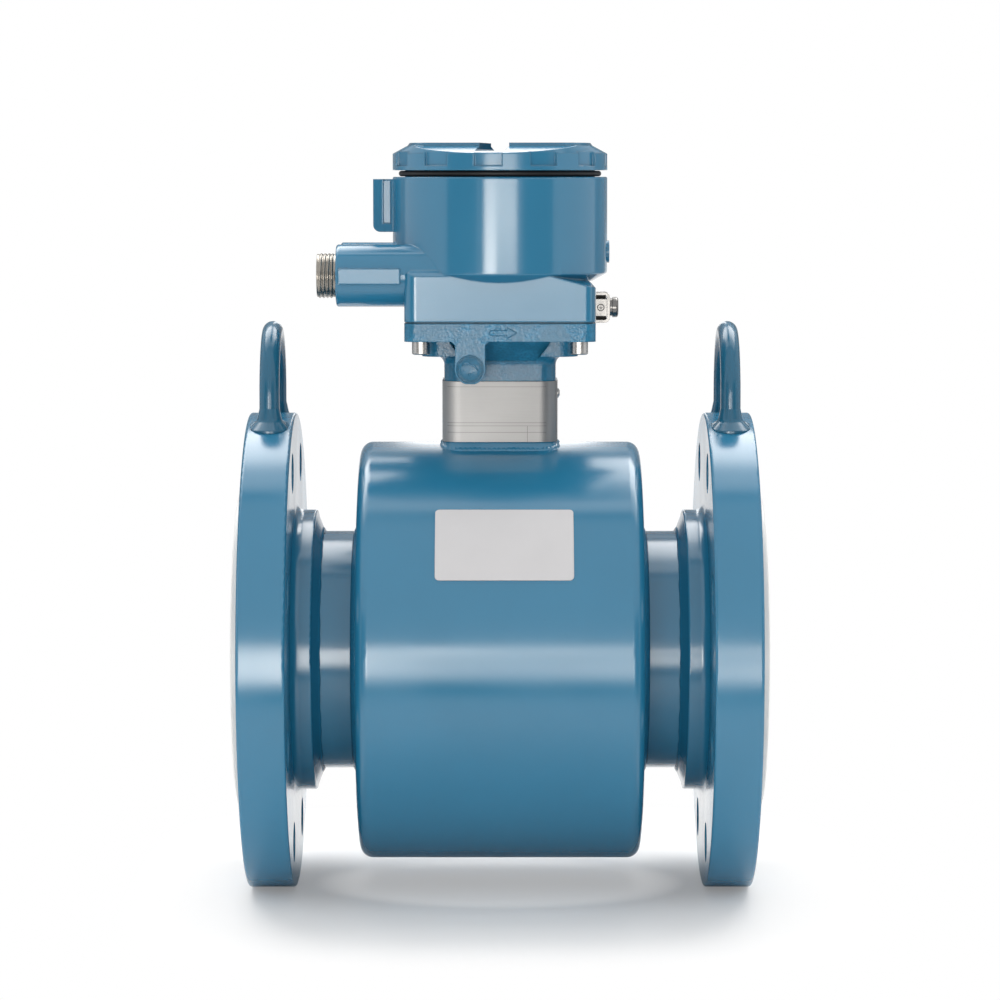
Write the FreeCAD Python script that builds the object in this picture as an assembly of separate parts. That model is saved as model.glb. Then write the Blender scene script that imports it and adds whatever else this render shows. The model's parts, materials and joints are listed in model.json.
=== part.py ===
import FreeCAD, Part
import math
import os

# A flanged electromagnetic flow meter for a 4 inch pipe, with its wiring box on top.
# Millimetres. The origin is on the pipe axis at mid length: X runs with the flow,
# the front (label side) faces -Y and Z is up.

V = FreeCAD.Vector
ORIGIN = V(0, 0, 0)
ALONG_X = V(1, 0, 0)
ALONG_Y = V(0, 1, 0)
ALONG_Z = V(0, 0, 1)

# Clearances
running_gap = 0.3
loose_gap = 0.2
overcut = 2.0

# Flow tube, liner and slip-on flanges
face_to_face = 250.4
tube_r = 57.15
tube_wall = 6.0
liner_wall = 3.85
flare_margin = 9.025
liner_flare_t = 5.0
liner_lip_r = 3.0
liner_edge_r = 0.8
flange_r = 114.3
flange_t = 22.3
rim_edge_r = 1.2
hub_r = 67.45
hub_length = 10.0
hub_edge_r = 0.9
hub_root_r = 4.0
hub_weld_leg = 3.4
hub_weld_drop = 1.6
bolt_edge_distance = 19.05
bolt_hole_r = 9.525
bolt_count = 8

# Lifting eyes on the flange rims
eye_rod_r = 4.75
eye_half_span = 30.0
eye_height = 44.2
eye_collar_r = 10.6
eye_collar_height = 8.0

# Coil housing, a drum welded round the tube
shell_r = 100.3
shell_half_length = 66.9
shell_wall = 4.0
shell_end_t = 5.0
shell_edge_r = 6.0
shell_weld_leg = 3.5

# Coils, cores and the magnetic return
core_half_x = 19.0
core_half_y = 17.0
core_edge_r = 4.0
return_gap = 9.3
return_wall = 3.0
return_half_length = 45.0
coil_half_x = 50.0
coil_half_y = 46.0
coil_edge_r = 16.0
coil_share = 0.63
coil_gap = 1.0

# Electrodes, one at the front and one at the rear
electrode_r = 3.0
electrode_head_r = 5.5
electrode_head_t = 1.6
electrode_sunk = 0.2
bush_r = 6.0
bush_flange_r = 9.0
bush_flange_t = 3.0
spring_r = 7.0
spring_t = 3.5
nut_across = 10.0
nut_t = 4.5
electrode_end = 2.0

# Neck tube and the plate wrapped round it
neck_half_x = 26.6
neck_half_y = 20.5
neck_corner_r = 8.0
neck_wall = 3.0
neck_height = 30.3
neck_weld_spread = 4.3
neck_weld_depth = 7.0
band_t = 0.9
band_gap = 1.5
rivet_height = 23.7
rivet_shank_r = 1.3
rivet_head_r = 2.4
rivet_head_t = 1.2
rivet_depth = 2.6

# Neck adapter casting
spigot_length = 10.0
adapter_neck_height = 12.1
pad_inset = 8.0
pad_clearance = 3.45
pad_corner_r = 9.0
pad_t = 7.7
pad_root_r = 4.5
ramp_foot = 2.5
ramp_inner_x = 17.0
ramp_outer_x = 24.5
base_half = 45.0
base_corner_r = 5.5
base_t = 8.5
base_edge_r = 1.0
passage_r = 12.0
web_x = -14.0
web_width = 14.2
web_root_r = 1.6
boss_r = 7.3
boss_height = 7.0
boss_groove_r = 6.5
boss_groove_width = 0.7
boss_groove_depth = 0.6
boss_recess_r = 5.4
boss_recess_depth = 2.0
arrow_x = 1.6
arrow_length = 12.6
arrow_shaft = 2.2
arrow_head = 5.0
arrow_head_length = 4.6
arrow_t = 0.6

# Junction box casting
gasket_t = 0.8
gasket_inset = 1.2
gasket_wall = 6.0
block_height = 26.4
block_shoulder = 4.3
slope_start_x = 24.6
slope_drop = 5.6
drum_r = 51.3
drum_rise = 19.3
drum_top_rise = 68.6
drum_cone_rise = 3.6
drum_cone_run = 6.3
drum_edge_r = 1.0
drum_top_r = 0.7
mouth_r = 45.0
chamber_r = 38.0
chamber_floor = 7.6
chamber_floor_r = 3.0
chamber_step = 24.0
conduit_y = 27.4
conduit_rise = 22.1
conduit_boss_r = 14.7
conduit_boss_x = 77.3
conduit_edge_r = 1.3
conduit_pad_proud = 0.8
conduit_pad_half = 3.75
conduit_pad_margin = 1.4
conduit_pad_end_x = 46.9
conduit_thread_r = 10.65
conduit_seat_r = 10.2
conduit_thread_depth = 16.0
conduit_bore_r = 9.0
lug_x = 60.5
lug_half_width = 7.0
lug_bottom = 42.4
lug_top = 67.5
lug_corner_r = 3.4
lug_groove_x = 53.9
lug_groove_r = 1.8
lug_groove_low = 46.5
plug_rise = 32.9
plug_r = 5.3
plug_proud = 1.0
plug_depth = 4.0
plug_socket_across = 4.0
plug_socket_depth = 2.2

# Nipple in the front conduit boss, plug in the rear one
nipple_reach = 9.1
nipple_root = 0.8
nipple_bore_r = 7.9
nipple_edge = 0.9
stopper_proud = 1.5
stopper_length = 12.0
stopper_socket_across = 9.5
stopper_socket_depth = 6.0

# Terminal block
post_r = 4.5
post_inset = 4.5
post_height = 9.5
block_half_y = 13.0
block_base_t = 9.0
fin_t = 1.2
fin_height = 4.0
ear_length = 8.5
ear_half_y = 6.0
ear_t = 4.0
terminal_pitch = 9.0
terminal_count = 5
terminal_y = 7.0
terminal_head_r = 3.0
terminal_head_t = 2.2
terminal_shank_r = 1.5
terminal_depth = 6.0
slot_width = 0.8
slot_depth = 0.9
mount_head_r = 3.1
mount_head_t = 2.4
mount_shank_r = 1.6
mount_depth = 7.0
bundle_r = 4.0
seal_low = 5.0
seal_height = 12.0

# Bolts that hold the box on the adapter
box_bolt_inset = 7.8
box_bolt_r = 2.5
box_bolt_head_r = 4.25
box_bolt_head_t = 6.2
box_bolt_grip = 10.0
box_bolt_socket_across = 4.0
box_bolt_socket_depth = 3.0
box_bolt_edge = 0.5

# Earth clamp on the right side of the box
clamp_rise = 6.3
clamp_half_height = 7.3
clamp_reach = 7.6
clamp_half_width = 6.0
clamp_strip = 1.4
clamp_corner_r = 2.6
clamp_block_half = 4.1
clamp_block_x = 5.2
washer_r = 4.3
washer_t = 1.3
earth_screw_r = 2.0
earth_head_r = 4.9
earth_head_t = 2.8
earth_head_round = 1.2
earth_screw_depth = 7.0
earth_slot_width = 1.3
earth_slot_depth = 1.6

# Screw cover and its seal
cover_gap = 3.1
cover_rim_height = 7.8
cover_rim_round = 1.2
cover_height = 13.0
cover_crown_drop = 1.3
cover_crown_r = 43.2
cover_flank_r = 44.2
cover_bevel_r = 51.1
cover_bevel_rise = 8.0
cover_wall = 5.5
spigot_depth = 14.0
spigot_wall = 4.0
collar_step = 0.7
seal_section_r = 1.35
cover_turn = -6.3
window_wall_y = 24.1
window_half_x = 33.6
window_flare = 30.0
window_wall_height = 1.6
slot_half_width = 7.0
slot_drop = 4.0
pocket_count = 12
pocket_angle = 15.0
pocket_depth = 1.6
pocket_low = 2.1
pad_rise = 0.75
pad_angle = 15.5
pad_inner_r = 45.6

# Label on the front of the coil housing
label_x = 2.0
label_width = 64.0
label_length = 37.8
label_corner_r = 2.0
label_t = 0.5
label_glue = 0.1
label_tilt = 36.15

# Places that follow from the sizes above
tube_inner_r = tube_r - tube_wall
liner_bore_r = tube_inner_r - liner_wall
bolt_circle_r = flange_r - bolt_edge_distance
liner_flare_r = bolt_circle_r - bolt_hole_r - flare_margin
face_x = face_to_face / 2
flange_face_x = face_x - liner_flare_t
flange_back_x = flange_face_x - flange_t
hub_end_x = flange_back_x - hub_length
eye_x = flange_face_x - flange_t / 2
return_inner_r = shell_r - shell_wall - return_gap - return_wall
coil_inner_r = tube_r + running_gap
coil_outer_r = coil_inner_r + coil_share * (return_inner_r - tube_r)
neck_top = shell_r + neck_height
pad_bottom = neck_top + adapter_neck_height
base_bottom = pad_bottom + pad_t
base_top = base_bottom + base_t
box_bolt_place = base_half - box_bolt_inset
pad_half_x = base_half - pad_inset
block_half_x = terminal_count * terminal_pitch / 2
post_x = block_half_x + post_inset
ear_half_x = block_half_x + ear_length
pad_half_y = box_bolt_place - box_bolt_head_r - pad_clearance
pad_shelf = min(pad_half_x - neck_half_x, pad_half_y - neck_half_y)
box_bottom = base_top + gasket_t
block_top = base_top + block_height
drum_bottom = base_top + drum_rise
drum_top = base_top + drum_top_rise
floor_z = box_bottom + chamber_floor
conduit_z = base_top + conduit_rise
clamp_z = base_top + clamp_rise
cover_bottom = drum_top + cover_gap
cover_top = cover_bottom + cover_height
terminal_z = floor_z + post_height
spigot_r = mouth_r - running_gap


def outline(points, place):
    """Closed wire through flat points; a third number rounds that corner."""
    flat = [V(point[0], point[1], 0) for point in points]
    arrive, leave, middle = [], [], []
    for index, point in enumerate(points):
        corner = flat[index]
        if len(point) == 2:
            arrive.append(corner)
            leave.append(corner)
            middle.append(None)
            continue
        radius = point[2]
        before = (flat[index - 1] - corner).normalize()
        after = (flat[(index + 1) % len(flat)] - corner).normalize()
        half = before.getAngle(after) / 2
        inward = (before + after).normalize()
        centre = corner + inward * (radius / math.sin(half))
        arrive.append(corner + before * (radius / math.tan(half)))
        leave.append(corner + after * (radius / math.tan(half)))
        middle.append(centre - inward * radius)
    edges = []
    for index in range(len(flat)):
        if middle[index]:
            arc = Part.Arc(place(arrive[index]), place(middle[index]), place(leave[index]))
            edges.append(arc.toShape())
        following = arrive[(index + 1) % len(flat)]
        edges.append(Part.LineSegment(place(leave[index]), place(following)).toShape())
    return Part.Wire(edges)


def turned(points, axis):
    """Solid of revolution of points (x, r) round X, or (r, z) round Z."""
    section = Part.Face(outline(points, lambda p: V(p.x, 0, p.y)))
    return section.revolve(ORIGIN, axis, 360)


def slab(points, low, high):
    """Outline in XY, extruded from one height to another."""
    face = Part.Face(outline(points, lambda p: V(p.x, p.y, low)))
    return face.extrude(V(0, 0, high - low))


def side_slab(points, low, high):
    """Outline in XZ, extruded along Y."""
    face = Part.Face(outline(points, lambda p: V(p.x, low, p.y)))
    return face.extrude(V(0, high - low, 0))


def rectangle(half_a, half_b, radius, a=0.0, b=0.0):
    """Corners of a rounded rectangle about a centre."""
    signs = ((-1, -1), (1, -1), (1, 1), (-1, 1))
    return [(a + s * half_a, b + t * half_b, radius) for s, t in signs]


def pillar(half_x, half_y, radius, low, high):
    """Upright prism with a rounded rectangle as its plan."""
    return slab(rectangle(half_x, half_y, radius), low, high)


def brick(x0, x1, y0, y1, z0, z1):
    return Part.makeBox(x1 - x0, y1 - y0, z1 - z0, V(x0, y0, z0))


def rod_x(radius, x0, x1, y=0.0, z=0.0):
    return Part.makeCylinder(radius, x1 - x0, V(x0, y, z), ALONG_X)


def rod_y(radius, y0, y1, x=0.0, z=0.0):
    return Part.makeCylinder(radius, y1 - y0, V(x, y0, z), ALONG_Y)


def rod_z(radius, z0, z1, x=0.0, y=0.0):
    return Part.makeCylinder(radius, z1 - z0, V(x, y, z0), ALONG_Z)


def hexagon_z(across, z0, z1, x=0.0, y=0.0):
    """Hexagonal prism along Z, given across its flats."""
    corner_r = across / math.sqrt(3)
    turns = [math.radians(60 * k) for k in range(6)]
    points = [(x + corner_r * math.cos(t), y + corner_r * math.sin(t)) for t in turns]
    return slab(points, z0, z1)


def rotated(shape, axis, angle, centre=ORIGIN):
    copy = shape.copy()
    copy.rotate(centre, axis, angle)
    return copy


def moved(shape, x, y, z):
    copy = shape.copy()
    copy.translate(V(x, y, z))
    return copy


def trimmed(shape, point, normal):
    """Cut away what lies on the normal's side of a plane."""
    size = 4 * face_to_face
    block = Part.makeBox(size, size, size, V(-size / 2, -size / 2, 0))
    block = block.copy()
    turn = FreeCAD.Rotation(ALONG_Z, V(*normal))
    block.Placement = FreeCAD.Placement(V(*point), turn).multiply(block.Placement)
    return shape.cut(block)


def four_corners(place):
    return [(s * place, t * place) for s in (-1, 1) for t in (-1, 1)]


# Flow tube


def flow_tube():
    tube = turned([
        (-flange_face_x, tube_inner_r),
        (flange_face_x, tube_inner_r),
        (flange_face_x, tube_r),
        (-flange_face_x, tube_r),
    ], ALONG_X)
    return tube.cut(rod_y(bush_r, -tube_r - overcut, tube_r + overcut))


def liner():
    """PTFE sleeve whose ends are flared over the flange faces."""
    body = turned([
        (-face_x, liner_bore_r, liner_lip_r),
        (face_x, liner_bore_r, liner_lip_r),
        (face_x, liner_flare_r, liner_edge_r),
        (flange_face_x, liner_flare_r),
        (flange_face_x, tube_inner_r),
        (-flange_face_x, tube_inner_r),
        (-flange_face_x, liner_flare_r),
        (-face_x, liner_flare_r, liner_edge_r),
    ], ALONG_X)
    seat_y = liner_bore_r + electrode_head_t
    body = body.cut(rod_y(electrode_head_r, -seat_y, seat_y))
    return body.cut(rod_y(electrode_r, -tube_r, tube_r))


def outlet_flange():
    """Slip-on flange with its hub, the weld that closes the hub and its bolt holes."""
    body = turned([
        (hub_end_x - hub_weld_leg, tube_r),
        (hub_end_x, hub_r - hub_weld_drop),
        (hub_end_x, hub_r, hub_edge_r),
        (flange_back_x, hub_r, hub_root_r),
        (flange_back_x, flange_r, rim_edge_r),
        (flange_face_x, flange_r, rim_edge_r),
        (flange_face_x, tube_r),
    ], ALONG_X)
    hole = rod_x(bolt_hole_r, flange_back_x - overcut, flange_face_x + overcut, 0, bolt_circle_r)
    for k in range(bolt_count):
        body = body.cut(rotated(hole, ALONG_X, (k + 0.5) * 360 / bolt_count))
    return body


def outlet_eye():
    """Bent rod welded on the rim of the flange, with a spread weld at each foot."""
    arch_z = flange_r + eye_height - eye_rod_r - eye_half_span
    foot_z = math.sqrt(flange_r ** 2 - eye_half_span ** 2)
    root_z = foot_z - eye_collar_r
    ring = Part.makeTorus(eye_half_span, eye_rod_r, V(eye_x, 0, arch_z), ALONG_X)
    size = eye_half_span + 2 * eye_rod_r
    arch = ring.common(brick(eye_x - size, eye_x + size, -size, size, arch_z, arch_z + size))
    skirt = turned([
        (0, root_z),
        (eye_collar_r, root_z),
        (eye_collar_r, foot_z - 0.25 * eye_collar_height),
        (eye_rod_r + 1.2, foot_z + 0.3 * eye_collar_height, 3.0),
        (eye_rod_r, foot_z + eye_collar_height),
        (0, foot_z + eye_collar_height),
    ], ALONG_Z)
    body = arch
    for side in (-1, 1):
        leg = rod_z(eye_rod_r, root_z, arch_z, eye_x, side * eye_half_span)
        body = body.fuse([leg, moved(skirt, eye_x, side * eye_half_span, 0)])
    body = body.cut(rod_x(flange_r, 0, face_to_face))
    return body.removeSplitter()


def mirrored_end(shape):
    """The inlet end is the outlet end turned about Z."""
    return rotated(shape, ALONG_Z, 180)


# Coil housing and what it holds


def coil_housing():
    length = shell_half_length
    inner = length - shell_end_t
    body = turned([
        (-length - shell_weld_leg, tube_r),
        (-length, tube_r + shell_weld_leg),
        (-length, shell_r, shell_edge_r),
        (length, shell_r, shell_edge_r),
        (length, tube_r + shell_weld_leg),
        (length + shell_weld_leg, tube_r),
        (inner, tube_r),
        (inner, shell_r - shell_wall),
        (-inner, shell_r - shell_wall),
        (-inner, tube_r),
    ], ALONG_X)
    return body.cut(rod_z(passage_r, shell_r / 2, shell_r + overcut))


def saddle(half_x, half_y, radius, inner_r, outer_r):
    """Plan shape projected on a thick cylinder about the pipe, above it."""
    plan = pillar(half_x, half_y, radius, 0, 2 * outer_r)
    ring = rod_x(outer_r, -face_x, face_x).cut(rod_x(inner_r, -face_x, face_x))
    return plan.common(ring)


def upper_core():
    return saddle(core_half_x, core_half_y, core_edge_r, tube_r, return_inner_r)


def upper_coil():
    outer = saddle(coil_half_x, coil_half_y, coil_edge_r, coil_inner_r, coil_outer_r)
    hole_x = core_half_x + coil_gap
    hole_y = core_half_y + coil_gap
    return outer.cut(pillar(hole_x, hole_y, core_edge_r + coil_gap, 0, 2 * shell_r))


def below(shape):
    """The lower half of the magnet is the upper half turned about X."""
    return rotated(shape, ALONG_X, 180)


def return_band():
    return turned([
        (-return_half_length, return_inner_r),
        (return_half_length, return_inner_r),
        (return_half_length, return_inner_r + return_wall),
        (-return_half_length, return_inner_r + return_wall),
    ], ALONG_X)


def rear_electrode():
    """Stem whose head lies in the liner, just below its bore."""
    nut_end = tube_r + bush_flange_t + spring_t + nut_t
    head = rod_y(electrode_head_r, 0, liner_bore_r + electrode_head_t)
    stem = rod_y(electrode_r, 0, nut_end + electrode_end)
    body = head.fuse(stem).cut(rod_x(liner_bore_r + electrode_sunk, -face_x, face_x))
    return body.removeSplitter()


def rear_bush():
    """Insulating bush through the tube wall, its flange outside."""
    low = tube_inner_r
    barrel = rod_y(bush_r, low - overcut, tube_r)
    barrel = barrel.cut(rod_x(tube_inner_r, -face_x, face_x))
    flange = rod_y(bush_flange_r, low, tube_r + bush_flange_t)
    flange = flange.cut(rod_x(tube_r, -face_x, face_x))
    core = rod_y(electrode_r, low - 2 * overcut, tube_r + bush_flange_t + overcut)
    return barrel.fuse(flange).cut(core).removeSplitter()


def rear_spring():
    """Stack of disc springs under the nut."""
    low = tube_r + bush_flange_t
    half = spring_t / 2
    stack = turned([
        (electrode_r, low),
        (spring_r, low),
        (spring_r, low + 0.4 * half),
        (electrode_r + 1.0, low + half),
        (spring_r, low + spring_t - 0.4 * half),
        (spring_r, low + spring_t),
        (electrode_r, low + spring_t),
    ], ALONG_Z)
    return rotated(stack, ALONG_X, -90)


def rear_nut():
    low = tube_r + bush_flange_t + spring_t
    nut = hexagon_z(nut_across, low, low + nut_t)
    nut = nut.cut(rod_z(electrode_r, low - overcut, low + nut_t + overcut))
    return rotated(nut, ALONG_X, -90)


def front(shape):
    """The front electrode set is the rear one turned about Z."""
    return rotated(shape, ALONG_Z, 180)


# Neck


def housing_neck():
    """Rectangular tube standing on the drum, with its weld."""
    low = shell_r - neck_weld_depth
    skirt_top = shell_r + band_gap
    wide = rectangle(neck_half_x + neck_weld_spread, neck_half_y + neck_weld_spread,
                     neck_corner_r + neck_weld_spread)
    narrow = rectangle(neck_half_x, neck_half_y, neck_corner_r)
    skirt = Part.makeLoft([
        outline(wide, lambda p: V(p.x, p.y, low)),
        outline(narrow, lambda p: V(p.x, p.y, skirt_top)),
    ], True, True)
    tube = pillar(neck_half_x, neck_half_y, neck_corner_r, low, neck_top)
    body = tube.fuse(skirt)
    body = body.cut(neck_bore(low - overcut, neck_top + overcut, 0.0))
    body = body.cut(rod_x(shell_r, -shell_half_length, shell_half_length))
    return body.cut(rivet_hole()).removeSplitter()


def neck_bore(low, high, gap):
    """Space inside the neck, less a gap."""
    half_x = neck_half_x - neck_wall - gap
    half_y = neck_half_y - neck_wall - gap
    return pillar(half_x, half_y, neck_corner_r - neck_wall, low, high)


def rivet_hole():
    return rod_x(rivet_shank_r, neck_half_x - rivet_depth, neck_half_x + overcut,
                 0, shell_r + rivet_height)


def nameplate_band():
    low = shell_r + band_gap
    outer = pillar(neck_half_x + band_t, neck_half_y + band_t, neck_corner_r + band_t,
                   low, neck_top)
    inner = pillar(neck_half_x, neck_half_y, neck_corner_r, low - overcut, neck_top + overcut)
    return outer.cut(inner).cut(rivet_hole())


def nameplate_rivet():
    face = neck_half_x + band_t
    z = shell_r + rivet_height
    shank = rod_x(rivet_shank_r, neck_half_x - rivet_depth, face, 0, z)
    head = turned([
        (0, 0),
        (rivet_head_r, 0),
        (rivet_head_r, 0.4 * rivet_head_t),
        (0.5 * rivet_head_r, rivet_head_t),
        (0, rivet_head_t),
    ], ALONG_Z)
    head = moved(rotated(head, ALONG_Y, 90), face, 0, z)
    return shank.fuse(head)


def neck_adapter():
    """Casting from the neck to the box, with a lug in front and a flow arrow."""
    neck = pillar(neck_half_x, neck_half_y, neck_corner_r, neck_top, base_bottom)
    pad = pillar(pad_half_x, pad_half_y, pad_corner_r, pad_bottom, base_bottom)
    body = neck.fuse(pad)
    root = [edge for edge in body.Edges
            if abs(edge.BoundBox.ZMin - pad_bottom) < 1e-6
            and abs(edge.BoundBox.ZMax - pad_bottom) < 1e-6
            and edge.BoundBox.XMax < neck_half_x + 1e-6
            and edge.BoundBox.XMin > -neck_half_x - 1e-6
            and edge.BoundBox.YMax < neck_half_y + 1e-6
            and edge.BoundBox.YMin > -neck_half_y - 1e-6]
    body = body.makeFillet(min(pad_root_r, 0.8 * pad_shelf), root)
    body = body.cut([ramp(side) for side in (-1, 1)])
    base = pillar(base_half, base_half, base_corner_r, base_bottom, base_top)
    body = body.fuse([base, neck_bore(neck_top - spigot_length, neck_top, loose_gap), lug_web()])
    body = body.cut(rod_z(passage_r, neck_top - spigot_length - overcut, base_top + overcut))
    for x, y in four_corners(box_bolt_place):
        body = body.cut(rod_z(box_bolt_r, base_bottom - overcut, base_top + overcut, x, y))
    body = body.cut(lug_recess())
    return body.fuse(flow_arrow()).removeSplitter()


def ramp(side):
    """What the pad lacks at the front and back, where it slopes down to the neck."""
    low = pad_bottom - ramp_foot
    body = side_slab([
        (-ramp_inner_x, low),
        (ramp_inner_x, low),
        (ramp_outer_x, base_bottom),
        (-ramp_outer_x, base_bottom),
    ], min(side * neck_half_y, side * base_half), max(side * neck_half_y, side * base_half))
    slope = (0, -side * (pad_t + ramp_foot), pad_half_y - neck_half_y)
    return trimmed(body, (0, side * pad_half_y, base_bottom), slope)


def lug_web():
    """Web hanging from the base plate, ending in a round boss."""
    boss_z = neck_top + boss_height
    half = web_width / 2
    web = side_slab([
        (web_x - half, boss_z),
        (web_x + half, boss_z),
        (web_x + half, base_bottom - web_root_r),
        (web_x + half + web_root_r, base_bottom),
        (web_x - half - web_root_r, base_bottom),
        (web_x - half, base_bottom - web_root_r),
    ], -base_half, 0)
    boss = rod_y(boss_r, -base_half, 0, web_x, boss_z)
    lug = web.fuse(boss)
    return lug.cut(brick(-base_half, base_half, -base_half, base_half,
                         neck_top - base_half, neck_top))


def lug_recess():
    """Round recess in the boss with a fine groove round it."""
    boss_z = neck_top + boss_height
    recess = rod_y(boss_recess_r, -base_half - overcut, -base_half + boss_recess_depth,
                   web_x, boss_z)
    ring = rod_y(boss_groove_r, -base_half - overcut, -base_half + boss_groove_depth,
                 web_x, boss_z)
    core = rod_y(boss_groove_r - boss_groove_width, -base_half - 2 * overcut, 0, web_x, boss_z)
    return recess.fuse(ring.cut(core))


def flow_arrow():
    """Raised arrow on the front of the base plate, pointing with the flow."""
    z = base_bottom + base_t / 2
    half = arrow_length / 2
    neck_x = arrow_x + half - arrow_head_length
    shaft = arrow_shaft / 2
    head = arrow_head / 2
    return side_slab([
        (arrow_x - half, z - shaft),
        (neck_x, z - shaft),
        (neck_x, z - head),
        (arrow_x + half, z),
        (neck_x, z + head),
        (neck_x, z + shaft),
        (arrow_x - half, z + shaft),
    ], -base_half - arrow_t, -base_half + arrow_t)


# Junction box


def box_gasket():
    half = base_half - gasket_inset
    corner = base_corner_r - gasket_inset / 2
    outer = pillar(half, half, corner, base_top, box_bottom)
    inner = rod_z(chamber_r - gasket_wall, base_top - overcut, box_bottom + overcut)
    body = outer.cut(inner)
    for x, y in four_corners(box_bolt_place):
        body = body.cut(rod_z(box_bolt_r, base_top - overcut, box_bottom + overcut, x, y))
    return body


def box_block():
    """Square foot of the box; its top falls away on the right, from a low ridge."""
    body = pillar(base_half, base_half, base_corner_r, box_bottom, block_top)
    run = base_half - slope_start_x
    edge_z = block_top - block_shoulder
    body = trimmed(body, (-base_half, 0, edge_z), (-1, 0, 1))
    body = trimmed(body, (base_half, 0, edge_z - slope_drop), (1, 0, 1))
    for side in (-1, 1):
        body = trimmed(body, (0, side * base_half, edge_z), (0, side, 1))
        slant = (slope_drop / run, side * block_shoulder / base_half, 1)
        body = trimmed(body, (slope_start_x, side * base_half, edge_z), slant)
    return body


def box_drum():
    """Round upper part of the box."""
    return turned([
        (0, drum_bottom),
        (drum_r - drum_cone_run, drum_bottom),
        (drum_r, drum_bottom + drum_cone_rise, drum_edge_r),
        (drum_r, drum_top, drum_top_r),
        (0, drum_top),
    ], ALONG_Z)


def conduit_boss(side):
    """Round boss for a cable entry, with a raised flat pad on its outer side."""
    boss = turned([
        (-conduit_boss_x, 0),
        (-chamber_r / 2, 0),
        (-chamber_r / 2, conduit_boss_r),
        (-conduit_boss_x, conduit_boss_r, conduit_edge_r),
    ], ALONG_X)
    boss = moved(boss, 0, side * conduit_y, conduit_z)
    pad_y = side * (conduit_y + conduit_boss_r + conduit_pad_proud)
    pad = brick(conduit_pad_margin - conduit_boss_x, -conduit_pad_end_x,
                min(side * conduit_y, pad_y), max(side * conduit_y, pad_y),
                conduit_z - conduit_pad_half, conduit_z + conduit_pad_half)
    return boss.fuse(pad)


def conduit_bore(side):
    thread_end = conduit_thread_depth - conduit_boss_x
    wide = rod_x(conduit_seat_r, -conduit_boss_x - overcut, thread_end,
                 side * conduit_y, conduit_z)
    narrow = rod_x(conduit_bore_r, -conduit_boss_x, 0, side * conduit_y, conduit_z)
    return wide.fuse(narrow)


def side_lug():
    """Upright lug on the left of the drum with a round groove down each face."""
    low = base_top + lug_bottom
    high = base_top + lug_top
    lug = side_slab([
        (-lug_x, low, lug_corner_r),
        (-mouth_r - 1.5, low),
        (-mouth_r - 1.5, high),
        (-lug_x, high),
    ], -lug_half_width, lug_half_width)
    for side in (-1, 1):
        lug = lug.cut(rod_z(lug_groove_r, base_top + lug_groove_low, high + overcut,
                            -lug_groove_x, side * lug_half_width))
    return lug


def chamber():
    """Space inside the box, open at the mouth."""
    step_z = box_bottom + chamber_step
    return turned([
        (0, floor_z),
        (chamber_r, floor_z, chamber_floor_r),
        (chamber_r, step_z),
        (mouth_r, step_z + mouth_r - chamber_r),
        (mouth_r, drum_top + overcut),
        (0, drum_top + overcut),
    ], ALONG_Z)


def junction_box():
    body = box_block().fuse([box_drum(), conduit_boss(-1), conduit_boss(1), side_lug()])
    body = body.cut(chamber())
    posts = [rod_z(post_r, floor_z - overcut, terminal_z, s * post_x) for s in (-1, 1)]
    body = body.fuse(posts)
    for x, y in four_corners(box_bolt_place):
        body = body.cut(rod_z(box_bolt_r, box_bottom - overcut, box_bottom + box_bolt_grip, x, y))
    for side in (-1, 1):
        body = body.cut(conduit_bore(side))
        body = body.cut(rod_z(mount_shank_r, terminal_z + ear_t - mount_depth,
                              terminal_z + overcut, side * post_x))
    body = body.cut(rod_z(passage_r, box_bottom - overcut, floor_z + overcut))
    body = body.cut(rod_x(earth_screw_r, base_half - earth_screw_depth, base_half + overcut,
                          0, clamp_z))
    body = body.cut(rod_x(plug_r, drum_r - plug_depth, drum_r + overcut, 0, base_top + plug_rise))
    return body.removeSplitter()


def side_plug():
    """Threaded plug with a hexagon socket, just proud of the drum."""
    z = base_top + plug_rise
    end = drum_r + plug_proud
    plug = rod_x(plug_r, drum_r - plug_depth, end, 0, z)
    socket = rotated(hexagon_z(plug_socket_across, 0, plug_socket_depth + overcut), ALONG_Y, 90)
    return plug.cut(moved(socket, end - plug_socket_depth, 0, z))


def conduit_nipple():
    """Short piece of threaded pipe in the front entry."""
    outer_end = -conduit_boss_x - nipple_reach
    root = -conduit_boss_x - nipple_root
    inner_end = conduit_thread_depth - conduit_boss_x
    body = turned([
        (outer_end, nipple_bore_r),
        (outer_end, conduit_thread_r - nipple_edge),
        (outer_end + nipple_edge, conduit_thread_r),
        (root, conduit_thread_r),
        (root, conduit_seat_r),
        (inner_end, conduit_seat_r),
        (inner_end, nipple_bore_r),
    ], ALONG_X)
    return moved(body, 0, -conduit_y, conduit_z)


def conduit_plug():
    """Stopper in the rear entry."""
    outer_end = -conduit_boss_x - stopper_proud
    body = rod_x(conduit_seat_r, outer_end, outer_end + stopper_length, conduit_y, conduit_z)
    socket = rotated(hexagon_z(stopper_socket_across, 0, stopper_socket_depth + overcut),
                     ALONG_Y, 90)
    return body.cut(moved(socket, outer_end - overcut, conduit_y, conduit_z))


# Wiring inside the box


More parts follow.
